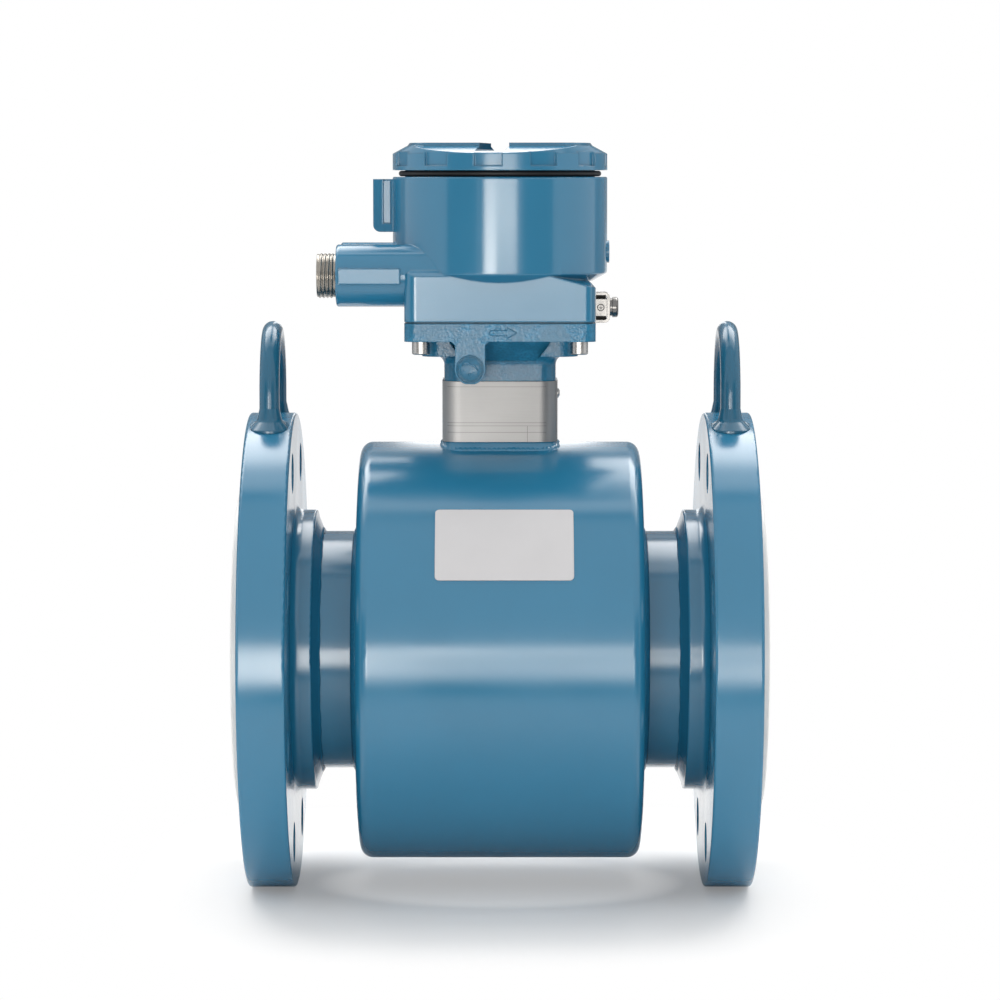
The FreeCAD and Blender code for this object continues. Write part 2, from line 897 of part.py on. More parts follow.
def terminal_block():
    """Moulded block with fins between the terminals and an ear at each end."""
    low = terminal_z
    top = low + block_base_t
    body = brick(-block_half_x, block_half_x, -block_half_y, block_half_y, low, top)
    body = body.fuse(brick(-ear_half_x, ear_half_x, -ear_half_y, ear_half_y, low, low + ear_t))
    for k in range(terminal_count + 1):
        x = (k - terminal_count / 2) * terminal_pitch
        x = max(-block_half_x, min(block_half_x - fin_t, x - fin_t / 2))
        body = body.fuse(brick(x, x + fin_t, -block_half_y, block_half_y, top, top + fin_height))
    for x, y in terminal_places():
        body = body.cut(rod_z(terminal_shank_r, top - terminal_depth, top + overcut, x, y))
    for side in (-1, 1):
        body = body.cut(rod_z(mount_shank_r, low - overcut, low + ear_t + overcut, side * post_x))
    return body.removeSplitter()


def terminal_places():
    middle = (terminal_count - 1) / 2
    return [((k - middle) * terminal_pitch, side * terminal_y)
            for k in range(terminal_count) for side in (-1, 1)]


def slotted_screw(head_r, head_t, shank_r, shank_length, width, depth):
    """Screw along Z whose head stands on Z = 0."""
    screw = rod_z(head_r, 0, head_t).fuse(rod_z(shank_r, -shank_length, 0))
    return screw.cut(brick(-2 * head_r, 2 * head_r, -width / 2, width / 2,
                           head_t - depth, head_t + overcut))


def terminal_screws():
    screw = slotted_screw(terminal_head_r, terminal_head_t, terminal_shank_r, terminal_depth,
                          slot_width, slot_depth)
    top = terminal_z + block_base_t
    return Part.makeCompound([moved(screw, x, y, top) for x, y in terminal_places()])


def mounting_screws():
    screw = slotted_screw(mount_head_r, mount_head_t, mount_shank_r, mount_depth,
                          slot_width, slot_depth)
    top = terminal_z + ear_t
    return Part.makeCompound([moved(screw, side * post_x, 0, top) for side in (-1, 1)])


def lead_bundle():
    """Coil and electrode leads, from the return band up to the terminal block."""
    leads = rod_z(bundle_r, shell_r / 2, terminal_z)
    return leads.cut(rod_x(return_inner_r + return_wall, -face_x, face_x))


def lead_seal():
    """Cast plug that closes the passage round the leads."""
    low = neck_top + seal_low
    return rod_z(passage_r, low, low + seal_height).cut(
        rod_z(bundle_r, low - overcut, low + seal_height + overcut))


# Fasteners and earth clamp


def box_bolts():
    """Socket head screws driven up through the adapter into the box."""
    head = turned([
        (0, -box_bolt_head_t),
        (box_bolt_head_r - box_bolt_edge, -box_bolt_head_t),
        (box_bolt_head_r, box_bolt_edge - box_bolt_head_t),
        (box_bolt_head_r, 0),
        (0, 0),
    ], ALONG_Z)
    bolt = head.fuse(rod_z(box_bolt_r, 0, base_t + gasket_t + box_bolt_grip))
    bolt = bolt.cut(hexagon_z(box_bolt_socket_across, -box_bolt_head_t - overcut,
                              box_bolt_socket_depth - box_bolt_head_t))
    return Part.makeCompound([moved(bolt, x, y, base_bottom)
                              for x, y in four_corners(box_bolt_place)])


def ground_clamp():
    """Bent strip whose two legs stand on the box."""
    near = base_half
    far = near + clamp_reach
    high = clamp_half_height
    low = high - clamp_strip
    inner_r = clamp_corner_r - clamp_strip
    body = side_slab([
        (near, clamp_z - high),
        (far, clamp_z - high, clamp_corner_r),
        (far, clamp_z + high, clamp_corner_r),
        (near, clamp_z + high),
        (near, clamp_z + low),
        (far - clamp_strip, clamp_z + low, inner_r),
        (far - clamp_strip, clamp_z - low, inner_r),
        (near, clamp_z - low),
    ], -clamp_half_width, clamp_half_width)
    return body.cut(rod_x(earth_screw_r, near, far + overcut, 0, clamp_z))


def ground_block():
    """Square block under the strip that bites the earth wire."""
    low = base_half + clamp_reach - clamp_strip - clamp_block_x
    half = clamp_block_half
    wide = clamp_half_width - loose_gap
    body = brick(base_half, low + clamp_block_x, -wide, wide, clamp_z - half, clamp_z + half)
    return body.cut(rod_x(earth_screw_r, base_half - overcut, low + clamp_block_x + overcut,
                          0, clamp_z))


def ground_washer():
    near = base_half + clamp_reach
    return rod_x(washer_r, near, near + washer_t, 0, clamp_z).cut(
        rod_x(earth_screw_r, near - overcut, near + washer_t + overcut, 0, clamp_z))


def ground_screw():
    """Round head screw with a cross slot, through the clamp into the box."""
    near = base_half + clamp_reach + washer_t
    shank = rod_z(earth_screw_r, -(near - base_half) - earth_screw_depth, 0)
    head = turned([
        (0, 0),
        (earth_head_r, 0),
        (earth_head_r, earth_head_t, earth_head_round),
        (0, earth_head_t),
    ], ALONG_Z)
    half = earth_slot_width / 2
    reach = 2 * earth_head_r
    deep = earth_head_t - earth_slot_depth
    slot = brick(-reach, reach, -half, half, deep, earth_head_t + overcut)
    cross = brick(-half, half, -reach / 3, reach / 3, deep, earth_head_t + overcut)
    screw = shank.fuse(head).cut(slot.fuse(cross))
    return moved(rotated(screw, ALONG_Y, 90), near, 0, clamp_z)


# Cover


def cover():
    """Screw cover: a raised deck cut by two windows and a key slot, pockets in its rim."""
    under = cover_bottom + cover_height - cover_wall
    rim_top = cover_bottom + cover_bevel_rise
    inner_r = spigot_r - spigot_wall
    body = turned([
        (inner_r, drum_top - spigot_depth),
        (spigot_r, drum_top - spigot_depth),
        (spigot_r, drum_top),
        (spigot_r + collar_step, drum_top),
        (spigot_r + collar_step, cover_bottom),
        (drum_r, cover_bottom),
        (drum_r, cover_bottom + cover_rim_height),
        (cover_bevel_r, rim_top),
        (cover_flank_r, cover_top - cover_crown_drop),
        (cover_crown_r, cover_top),
        (0, cover_top),
        (0, under),
        (inner_r, under),
    ], ALONG_Z)
    for side in (0, 180):
        body = body.cut(rotated(window(rim_top), ALONG_Z, side))
    body = body.fuse(rim_pads(rim_top))
    body = body.cut(brick(-slot_half_width, slot_half_width, -drum_r, drum_r,
                          cover_top - slot_drop, cover_top + overcut))
    step = 360 / pocket_count
    for k in range(pocket_count):
        body = body.cut(rotated(pocket(), ALONG_Z, k * step))
    return rotated(body.removeSplitter(), ALONG_Z, cover_turn)


def window(rim_top):
    """What is taken off one side of the deck, above a floor that rises inwards."""
    flare = math.tan(math.radians(window_flare))
    reach = 2 * drum_r
    side_y = -window_wall_y + (reach - window_half_x) * flare
    low = cover_bottom
    high = cover_top + overcut
    body = slab([
        (-window_half_x, -window_wall_y),
        (window_half_x, -window_wall_y),
        (reach, side_y),
        (reach, -reach),
        (-reach, -reach),
        (-reach, side_y),
    ], low, high)
    wall_foot = cover_top - window_wall_height
    rise = wall_foot - rim_top
    run = cover_bevel_r - window_wall_y
    point = (0, -window_wall_y, wall_foot)
    return trimmed(body, point, (0, rise, -run))


def sector(inner_r, outer_r, angle, low, high):
    """Piece of a thick ring centred on -Y."""
    ring = rod_z(outer_r, low, high).cut(rod_z(inner_r, low - overcut, high + overcut))
    half = math.radians(angle / 2)
    reach = 2 * outer_r
    wedge = slab([
        (0, 0),
        (reach * math.sin(half), -reach * math.cos(half)),
        (-reach * math.sin(half), -reach * math.cos(half)),
    ], low - overcut, high + overcut)
    return ring.common(wedge)


def pocket():
    """One of the hollows round the rim, open at the top."""
    return sector(drum_r - pocket_depth, drum_r + overcut, pocket_angle,
                  cover_bottom + pocket_low, cover_top)


def rim_pads(rim_top):
    """Low raised pads behind the pockets beside the windows."""
    pad = sector(pad_inner_r, drum_r - pocket_depth, pad_angle,
                 rim_top - overcut, rim_top + pad_rise)
    step = 360 / pocket_count
    return [rotated(pad, ALONG_Z, angle) for angle in (-step, step, 180 - step, 180 + step)]


def cover_o_ring():
    ring_r = spigot_r + collar_step + running_gap + seal_section_r
    z = cover_bottom - loose_gap - seal_section_r
    return Part.makeTorus(ring_r, seal_section_r, V(0, 0, z), ALONG_Z)


def label_plate():
    """Thin plate bent to the drum, below the neck on the front."""
    plan = slab(rectangle(label_width / 2, label_length / 2, label_corner_r, label_x, 0),
                0, 2 * shell_r)
    plan = rotated(plan, ALONG_X, 90 - label_tilt)
    low = shell_r + label_glue
    ring = rod_x(low + label_t, -face_x, face_x).cut(rod_x(low, -face_x, face_x))
    return ring.common(plan)


def group(*shapes):
    return Part.makeCompound(list(shapes))


def main():
    flange = outlet_flange()
    eye = outlet_eye()
    coil = upper_coil()
    core = upper_core()
    electrode = rear_electrode()
    bush = rear_bush()
    spring = rear_spring()
    nut = rear_nut()
    nodes = {
        "flow_tube": flow_tube(),
        "liner": liner(),
        "inlet_flange": mirrored_end(flange),
        "outlet_flange": flange,
        "inlet_lifting_eye": mirrored_end(eye),
        "outlet_lifting_eye": eye,
        "coil_housing": coil_housing(),
        "upper_core": core,
        "lower_core": below(core),
        "upper_coil": coil,
        "lower_coil": below(coil),
        "return_band": return_band(),
        "front_electrode": front(electrode),
        "rear_electrode": electrode,
        "electrode_bushes": group(front(bush), bush),
        "electrode_springs": group(front(spring), spring),
        "electrode_nuts": group(front(nut), nut),
        "housing_neck": housing_neck(),
        "nameplate_band": nameplate_band(),
        "nameplate_rivet": nameplate_rivet(),
        "neck_adapter": neck_adapter(),
        "box_gasket": box_gasket(),
        "junction_box": junction_box(),
        "side_plug": side_plug(),
        "conduit_nipple": conduit_nipple(),
        "conduit_plug": conduit_plug(),
        "terminal_block": terminal_block(),
        "terminal_screws": terminal_screws(),
        "block_mounting_screws": mounting_screws(),
        "lead_bundle": lead_bundle(),
        "lead_seal": lead_seal(),
        "box_bolts": box_bolts(),
        "ground_clamp": ground_clamp(),
        "ground_block": ground_block(),
        "ground_washer": ground_washer(),
        "ground_screw": ground_screw(),
        "cover": cover(),
        "cover_o_ring": cover_o_ring(),
        "label_plate": label_plate(),
    }
    os.makedirs("parts", exist_ok=True)
    for name, shape in nodes.items():
        shape.exportStep(f"parts/{name}.step")
        volumes = [round(solid.Volume) for solid in shape.Solids]
        print(name, "valid" if shape.isValid() else "INVALID", volumes)


main()
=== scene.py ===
import json
import math

import bpy
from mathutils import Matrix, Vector


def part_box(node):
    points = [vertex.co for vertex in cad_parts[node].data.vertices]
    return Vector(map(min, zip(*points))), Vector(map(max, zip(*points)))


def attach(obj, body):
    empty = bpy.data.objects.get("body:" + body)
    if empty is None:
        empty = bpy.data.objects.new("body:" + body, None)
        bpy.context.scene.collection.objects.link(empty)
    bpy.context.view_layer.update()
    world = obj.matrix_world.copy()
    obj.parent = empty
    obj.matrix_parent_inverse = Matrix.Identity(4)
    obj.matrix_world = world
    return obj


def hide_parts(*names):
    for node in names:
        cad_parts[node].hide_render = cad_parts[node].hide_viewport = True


# Looks of a flanged electromagnetic flow meter: paint and metal on its CAD pieces, with welds, threads,
# small fittings and the studio round it. Metres, X along the pipe, -Y the front, Z up.

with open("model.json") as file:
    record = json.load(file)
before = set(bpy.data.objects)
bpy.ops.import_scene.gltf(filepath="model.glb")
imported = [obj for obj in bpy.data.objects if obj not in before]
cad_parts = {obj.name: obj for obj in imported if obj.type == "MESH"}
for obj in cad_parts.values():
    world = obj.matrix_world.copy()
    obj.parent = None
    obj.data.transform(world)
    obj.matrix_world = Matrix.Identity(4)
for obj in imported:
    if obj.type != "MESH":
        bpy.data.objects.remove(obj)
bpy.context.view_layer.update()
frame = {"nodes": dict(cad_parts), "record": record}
cad = frame["nodes"]
scene = bpy.context.scene
mm = 0.001

# Places read from the frame
shell_low, shell_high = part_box("coil_housing")
flange_low, flange_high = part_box("outlet_flange")
tube_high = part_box("flow_tube")[1]
band_low, band_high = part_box("nameplate_band")
adapter_low, adapter_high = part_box("neck_adapter")
box_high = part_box("junction_box")[1]
nipple_low, nipple_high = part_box("conduit_nipple")
block_low, block_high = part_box("ground_block")
eye_low, eye_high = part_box("outlet_lifting_eye")
cover_low, cover_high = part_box("cover")
gasket_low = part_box("box_gasket")[0]
floor_z = flange_low.z
tube_r = tube_high.z
rim_r = flange_high.z
shell_r = -shell_low.z
neck_half_x = band_high.x - 0.9 * mm
neck_half_y = 20.5 * mm
boss_x = -14.0 * mm
boss_z = band_high.z + 7.0 * mm

# Camera
camera_lens = 136.87
camera_sensor = 36.0
camera_place = Vector((0.0, -1.8255, 0.2288))
camera_pitch = math.radians(4.9)

# Gloss of the paint, and how far the lifting eyes' paint is darkened as painted shade
paint_gloss = 0.85
cast_gloss = 0.45
painted_shade_on_eyes = 0.62

# Paint, metal and plastic, as linear colours
paint_blue = (0.016, 0.152, 0.274)
steel_grey = (0.50, 0.495, 0.485)
clamp_grey = (0.19, 0.188, 0.185)
block_grey = (0.235, 0.233, 0.23)
plate_grey = (0.46, 0.456, 0.452)
nipple_grey = (0.32, 0.30, 0.268)
liner_white = (0.78, 0.775, 0.76)
label_grey = (0.515, 0.515, 0.53)
rubber_black = (0.008, 0.008, 0.009)
gasket_blue = (0.03, 0.10, 0.15)
plastic_black = (0.028, 0.028, 0.030)
core_grey = (0.17, 0.17, 0.175)
copper_red = (0.52, 0.21, 0.10)
brass_yellow = (0.58, 0.43, 0.19)
sleeve_grey = (0.075, 0.075, 0.08)
etch_grey = (0.16, 0.155, 0.15)
etch_black = (0.02, 0.02, 0.02)
# Near black of the clamp's inner web: painted shade.
clamp_shade_black = (0.02, 0.02, 0.02)
flag_grey = (0.25, 0.25, 0.25)

# How far the shading normals are tipped on some faces, for their reflections. The mesh stays as it is.
lug_tip = (-0.25, 0.0, 0.0)
entry_tip = (0.0, 0.0, 0.25)
pad_tip = (0.05, 0.0, 0.0)
corner_tip = (0.8, 0.0, 0.0)
wall_tip = (0.0, 0.0, 0.4)
slot_tip = (0.4, -3.8, -0.4)
flank_tip = (0.0, 0.0, -0.6)
plate_tip = (0.0, -1.3, 0.0)

# Light panels: place, span along each side, and colour
front_y = -1.95
left_y = -1.9
rear_y = 2.2
top_z = 1.15
front_span = ((-0.75, 0.75), (-0.6, 0.4))
left_span = ((-1.5, -0.7), (-0.34, 0.02))
rear_span = ((-1.2, 1.2), (-0.35, 1.3))
top_span = ((-1.1, 1.1), (-0.2, 1.65))
front_white = (1.0, 0.96, 0.91)
left_white = (1.0, 0.98, 0.96)
rear_white = (1.0, 0.99, 0.98)
top_white = (1.0, 0.985, 0.97)


# Shader helpers


def add_node(tree, kind, settings=None, values=None):
    """New node with its settings, its inputs given as values or as sockets to link."""
    node = tree.nodes.new(kind)
    for key, value in (settings or {}).items():
        setattr(node, key, value)
    for key, value in (values or {}).items():
        socket = node.inputs[key]
        if isinstance(value, bpy.types.NodeSocket):
            tree.links.new(value, socket)
        else:
            socket.default_value = value
    return node


def calc(tree, operation, *terms):
    """Math node over numbers and sockets."""
    values = {index: term for index, term in enumerate(terms)}
    return add_node(tree, "ShaderNodeMath", {"operation": operation}, values).outputs[0]


def ramp(tree, value, low, high, start=0.0, end=1.0):
    """Smooth step of a socket from one level to another."""
    values = {"Value": value, "From Min": low, "From Max": high, "To Min": start, "To Max": end}
    node = add_node(tree, "ShaderNodeMapRange", {"interpolation_type": "SMOOTHSTEP"}, values)
    return node.outputs["Result"]


def window(tree, value, low, high, soft):
    """One between two limits and zero outside, with soft edges."""
    rise = ramp(tree, value, low - soft, low + soft)
    fall = ramp(tree, value, high - soft, high + soft, 1.0, 0.0)
    return calc(tree, "MULTIPLY", rise, fall)


def places(tree, scale=(1.0, 1.0, 1.0)):
    """Object coordinates, which are metres in the frame."""
    source = add_node(tree, "ShaderNodeTexCoord").outputs["Object"]
    return add_node(tree, "ShaderNodeVectorMath", {"operation": "MULTIPLY"},
                    {0: source, 1: scale}).outputs[0]


def noise(tree, where, scale, detail=2.0, roughness=0.5):
    """Cloudy pattern between zero and one."""
    values = {"Vector": where, "Scale": scale, "Detail": detail, "Roughness": roughness}
    return add_node(tree, "ShaderNodeTexNoise", {}, values).outputs["Fac"]


def new_material(name, colour):
    """Material with its node tree and its shader."""
    material = bpy.data.materials.new(name)
    material.use_nodes = True
    material.diffuse_color = (*colour, 1.0)
    tree = material.node_tree
    return material, tree, tree.nodes["Principled BSDF"]


def tinted(tree, colour, factor, low, high):
    """Colour that swings between two brightnesses with a factor."""
    dark = tuple(low * part for part in colour) + (1.0,)
    light = tuple(high * part for part in colour) + (1.0,)
    return add_node(tree, "ShaderNodeMix", {"data_type": "RGBA"},
                    {"Factor": factor, "A": dark, "B": light}).outputs["Result"]


def rounded_normal(tree, edge):
    """Normal with the edges rounded by a small radius."""
    return add_node(tree, "ShaderNodeBevel", {"samples": 6}, {"Radius": edge}).outputs["Normal"]


def bumped(tree, height, distance, normal):
    """Normal with a fine relief laid on it."""
    values = {"Height": height, "Distance": distance, "Normal": normal}
    return add_node(tree, "ShaderNodeBump", {}, values).outputs["Normal"]


# Materials


def tipped(tree, normal, zones):
    """Shading normal tipped inside zones, given as (mask, tip)."""
    for mask, tip in zones:
        shift = add_node(tree, "ShaderNodeVectorMath", {"operation": "SCALE"},
                         {0: tip, "Scale": mask}).outputs[0]
        normal = add_node(tree, "ShaderNodeVectorMath", {"operation": "ADD"},
                          {0: normal, 1: shift}).outputs[0]
    return add_node(tree, "ShaderNodeVectorMath", {"operation": "NORMALIZE"},
                    {0: normal}).outputs[0]


def box_zones(tree):
    """Tipped faces of the wiring box: side lug, front cable entry with its pad, right corner."""
    lug_left, lug_right, lug_low = -0.07, -0.0512, 0.2
    entry_low, entry_high = 0.177, 0.1853
    entry_front, entry_back = -0.0434, -0.0424
    pad_right, entry_left = -0.0472, -0.0466
    corner_left, corner_right = 0.0424, 0.0432
    split = add_node(tree, "ShaderNodeSeparateXYZ", {}, {0: places(tree)})
    x, y, z = (split.outputs[key] for key in ("X", "Y", "Z"))
    on_lug = calc(tree, "MULTIPLY", window(tree, x, lug_left, lug_right, 0.0002),
                  calc(tree, "GREATER_THAN", z, lug_low))
    entry_face = calc(tree, "MULTIPLY", window(tree, z, entry_low, entry_high, 0.0003),
                      window(tree, y, entry_front, entry_back, 0.0001))
    past_pad = ramp(tree, x, pad_right, entry_left)
    corner = calc(tree, "MULTIPLY", ramp(tree, x, corner_left, corner_right),
                  calc(tree, "LESS_THAN", z, entry_low))
    pad = calc(tree, "MULTIPLY", entry_face, calc(tree, "SUBTRACT", 1.0, past_pad))
    return [(on_lug, lug_tip),
            (calc(tree, "MULTIPLY", entry_face, past_pad), entry_tip),
            (pad, pad_tip),
            (corner, corner_tip)]


def cover_zones(tree):
    """Tipped faces of the cover: walls cut into the deck, one slot side and the deck's flank."""
    wall_depth, flank_depth = 0.0030, 0.0052
    height = add_node(tree, "ShaderNodeSeparateXYZ", {}, {0: places(tree)}).outputs["Z"]
    facing = add_node(tree, "ShaderNodeNewGeometry").outputs["True Normal"]
    split = add_node(tree, "ShaderNodeSeparateXYZ", {}, {0: facing})
    tilt = split.outputs["Z"]
    upright = ramp(tree, calc(tree, "ABSOLUTE", tilt), 0.2, 0.3, 1.0, 0.0)
    high = calc(tree, "GREATER_THAN", height, cover_high.z - wall_depth)
    slot_side = calc(tree, "MULTIPLY", ramp(tree, split.outputs["X"], 0.9, 0.95), high)
    flank = calc(tree, "MULTIPLY", window(tree, tilt, 0.5, 0.94, 0.02),
                 calc(tree, "GREATER_THAN", height, cover_high.z - flank_depth))
    return [(calc(tree, "MULTIPLY", upright, high), wall_tip),
            (slot_side, slot_tip),
            (flank, flank_tip)]


def painted(name, edge, grain_height, roughness, zones_of=None, shade=1.0):
    """Semi-gloss blue paint with a faint orange peel. The shade factor darkens its colour and gloss as
    painted shade.
    """
    cloud_scale, peel_scale = 22.0, 620.0
    drift = 0.07
    unevenness = 0.02
    material, tree, shader = new_material(name, paint_blue)
    where = places(tree)
    cloud = noise(tree, where, cloud_scale, 3.0)
    peel = noise(tree, where, peel_scale, 2.0, 0.45)
    normal = bumped(tree, peel, grain_height, rounded_normal(tree, edge))
    if zones_of:
        normal = tipped(tree, normal, zones_of(tree))
    tree.links.new(tinted(tree, paint_blue, cloud, (1 - drift) * shade, (1 + drift) * shade),
                   shader.inputs["Base Color"])
    tree.links.new(ramp(tree, cloud, 0.3, 0.7, roughness - unevenness, roughness + unevenness),
                   shader.inputs["Roughness"])
    tree.links.new(normal, shader.inputs["Normal"])
    shader.inputs["Specular IOR Level"].default_value = paint_gloss * shade
    return material


def cast_painted(name):
    """The same paint over a rough casting, with grains and pits showing through."""
    grain_scale, patch_scale = 800.0, 80.0
    grain_height = 0.00018
    edge = 0.0007
    material, tree, shader = new_material(name, paint_blue)
    where = places(tree)
    grains = add_node(tree, "ShaderNodeTexVoronoi", {"feature": "F1"},
                      {"Vector": where, "Scale": grain_scale}).outputs["Distance"]
    patches = ramp(tree, noise(tree, where, patch_scale, 2.0), 0.44, 0.6, 0.4, 1.0)
    height = calc(tree, "MULTIPLY", calc(tree, "SUBTRACT", grains, 0.5), patches)
    normal = bumped(tree, height, grain_height, rounded_normal(tree, edge))
    tree.links.new(tinted(tree, paint_blue, calc(tree, "MULTIPLY", grains, patches), 0.72, 1.25),
                   shader.inputs["Base Color"])
    shader.inputs["Roughness"].default_value = 0.24
    shader.inputs["Specular IOR Level"].default_value = cast_gloss
    tree.links.new(normal, shader.inputs["Normal"])
    return material


def turned_steel(name, colour, roughness, edge, scale):
    """Machined steel with fine lines and faint stains."""
    stain_scale = 120.0
    line_height = 0.000008
    smoother, duller = 0.05, 0.06
    material, tree, shader = new_material(name, colour)
    lines = noise(tree, places(tree, scale), 1.0, 2.0)
    cloud = noise(tree, places(tree), stain_scale, 3.0)
    tree.links.new(tinted(tree, colour, cloud, 0.9, 1.08), shader.inputs["Base Color"])
    tree.links.new(ramp(tree, lines, 0.25, 0.75, roughness - smoother, roughness + duller),
                   shader.inputs["Roughness"])
    tree.links.new(bumped(tree, lines, line_height, rounded_normal(tree, edge)),
                   shader.inputs["Normal"])
    shader.inputs["Metallic"].default_value = 1.0
    return material


def etched_lines(tree, x, y, z):
    """Mask of the plate's plain lines, in rows and down the left side of one box."""
    row_heights = (4.6 * mm, 7.7 * mm, 9.2 * mm, 26.3 * mm)
    row_left, row_right = -25.0 * mm, 22.0 * mm
    side_left, side_right, side_top = 12.9 * mm, 13.15 * mm, 7.6 * mm
    half_line, line_blur, end_blur = 0.1 * mm, 0.05 * mm, 0.1 * mm
    bottom = band_low.z
    rows = None
    for height in row_heights:
        line = window(tree, z, bottom + height - half_line, bottom + height + half_line, line_blur)
        rows = line if rows is None else calc(tree, "MAXIMUM", rows, line)
    rows = calc(tree, "MULTIPLY", rows, window(tree, x, row_left, row_right, end_blur))
    side = calc(tree, "MULTIPLY", window(tree, x, side_left, side_right, line_blur),
                window(tree, z, bottom, bottom + side_top, end_blur))
    in_front = calc(tree, "LESS_THAN", y, 0.0)
    return calc(tree, "MULTIPLY", calc(tree, "MAXIMUM", rows, side), in_front)


def brushed_plate():
    """Stainless strip, brushed along its length, with plain etched lines and one box, and a painted
    sheen that lightens it towards its left end.
    """
    etch_depth = 0.75
    hair_height = 0.000012
    edge = 0.0002
    corner_left, corner_right = -0.0192, -0.0182
    material, tree, shader = new_material("brushed_plate", plate_grey)
    split = add_node(tree, "ShaderNodeSeparateXYZ", {}, {0: places(tree)})
    x, y, z = (split.outputs[key] for key in ("X", "Y", "Z"))
    hair = noise(tree, places(tree, (60.0, 60.0, 5200.0)), 1.0, 3.0, 0.6)
    cloud = noise(tree, places(tree), 40.0, 2.0)
    # Random tone, plus a painted sheen: the strip is lighter towards its left end.
    tone_and_left_sheen = calc(tree, "ADD", calc(tree, "MULTIPLY", cloud, 0.2), ramp(tree, x, -0.026, 0.02, 0.8, 0.0))
    steel = tinted(tree, plate_grey, tone_and_left_sheen, 0.84, 1.12)
    etched = calc(tree, "MULTIPLY", etched_lines(tree, x, y, z), etch_depth)
    base = add_node(tree, "ShaderNodeMix", {"data_type": "RGBA"},
                    {"Factor": etched, "A": steel, "B": (*etch_grey, 1.0)}).outputs["Result"]
    tree.links.new(base, shader.inputs["Base Color"])
    tree.links.new(ramp(tree, hair, 0.2, 0.8, 0.48, 0.58), shader.inputs["Roughness"])
    left_corner = calc(tree, "MULTIPLY", ramp(tree, x, corner_left, corner_right, 1.0, 0.0),
                       calc(tree, "LESS_THAN", y, 0.0))
    normal = bumped(tree, hair, hair_height, rounded_normal(tree, edge))
    tree.links.new(tipped(tree, normal, [(left_corner, plate_tip)]), shader.inputs["Normal"])
    tangent = add_node(tree, "ShaderNodeTangent", {"direction_type": "RADIAL", "axis": "Z"})
    tree.links.new(tangent.outputs["Tangent"], shader.inputs["Tangent"])
    shader.inputs["Anisotropic"].default_value = 0.85
    shader.inputs["Anisotropic Rotation"].default_value = 0.25
    shader.inputs["Metallic"].default_value = 1.0
    return material


def moulded(name, colour, roughness, edge, grain, height):
    """Plastic, rubber or film with a fine grain."""
    tone_scale = 60.0
    unevenness = 0.04
    material, tree, shader = new_material(name, colour)
    where = places(tree)
    cloud = noise(tree, where, grain, 3.0)
    tree.links.new(tinted(tree, colour, noise(tree, where, tone_scale, 2.0), 0.96, 1.04),
                   shader.inputs["Base Color"])
    tree.links.new(ramp(tree, cloud, 0.3, 0.7, roughness - unevenness, roughness + unevenness),
                   shader.inputs["Roughness"])
    tree.links.new(bumped(tree, cloud, height, rounded_normal(tree, edge)),
                   shader.inputs["Normal"])
    return material


def wound_copper():
    """Enamelled wire laid side by side."""
    wire = 0.0009
    ridge = 0.0002
    edge = 0.001
    material, tree, shader = new_material("copper_wire", copper_red)
    split = add_node(tree, "ShaderNodeSeparateXYZ", {}, {0: places(tree)})
    turns = calc(tree, "SINE", calc(tree, "MULTIPLY", split.outputs["Z"], 2 * math.pi / wire))
    tree.links.new(tinted(tree, copper_red, turns, 0.75, 1.1), shader.inputs["Base Color"])
    tree.links.new(bumped(tree, turns, ridge, rounded_normal(tree, edge)),
                   shader.inputs["Normal"])
    shader.inputs["Metallic"].default_value = 1.0
    shader.inputs["Roughness"].default_value = 0.35
    return material


finishes = {
    "blue_paint": painted("blue_paint", 0.0007, 0.000008, 0.2),
    "cast_paint": painted("cast_paint", 0.0006, 0.00001, 0.2),
    # Darker copy of the blue paint for the lifting eyes and their welds: painted shade.
    "eye_paint": painted("eye_paint", 0.0006, 0.00001, 0.2, shade=painted_shade_on_eyes),
    "box_paint": painted("box_paint", 0.0011, 0.00001, 0.14, box_zones),
    "cover_paint": painted("cover_paint", 0.0008, 0.000006, 0.18, cover_zones),
    "rough_cast": cast_painted("rough_cast"),
    "white_liner": moulded("white_liner", liner_white, 0.38, 0.0005, 300.0, 0.00001),
    "core_steel": turned_steel("core_steel", core_grey, 0.45, 0.0004, (900.0, 900.0, 900.0)),
    "copper_wire": wound_copper(),
    "bright_steel": turned_steel("bright_steel", steel_grey, 0.3, 0.0003, (300.0, 300.0, 2500.0)),
    "clamp_steel": turned_steel("clamp_steel", clamp_grey, 0.2, 0.0003, (300.0, 300.0, 300.0)),
    "block_steel": turned_steel("block_steel", block_grey, 0.25, 0.0003, (300.0, 300.0, 300.0)),
    # Near black steel for the clamp's inner web, which is painted shade.
    "painted_shade_steel": turned_steel("painted_shade_steel", clamp_shade_black, 0.4, 0.0002, (300.0, 300.0, 300.0)),
    "nipple_steel": turned_steel("nipple_steel", nipple_grey, 0.26, 0.0002,
                                 (4000.0, 300.0, 300.0)),
    "brushed_plate": brushed_plate(),
    "black_rubber": moulded("black_rubber", rubber_black, 0.5, 0.0002, 900.0, 0.00002),
    "gasket_sheet": moulded("gasket_sheet", gasket_blue, 0.5, 0.0002, 900.0, 0.00002),
    "terminal_plastic": moulded("terminal_plastic", plastic_black, 0.45, 0.0003, 800.0, 0.00002),
    "terminal_brass": turned_steel("terminal_brass", brass_yellow, 0.3, 0.0002,
                                   (3000.0, 3000.0, 3000.0)),
    "lead_sleeve": moulded("lead_sleeve", sleeve_grey, 0.5, 0.0003, 700.0, 0.00003),
    "grey_label": moulded("grey_label", label_grey, 0.34, 0.0003, 500.0, 0.000004),
    "etch_ink": moulded("etch_ink", etch_black, 0.6, 0.0001, 900.0, 0.000004),
}


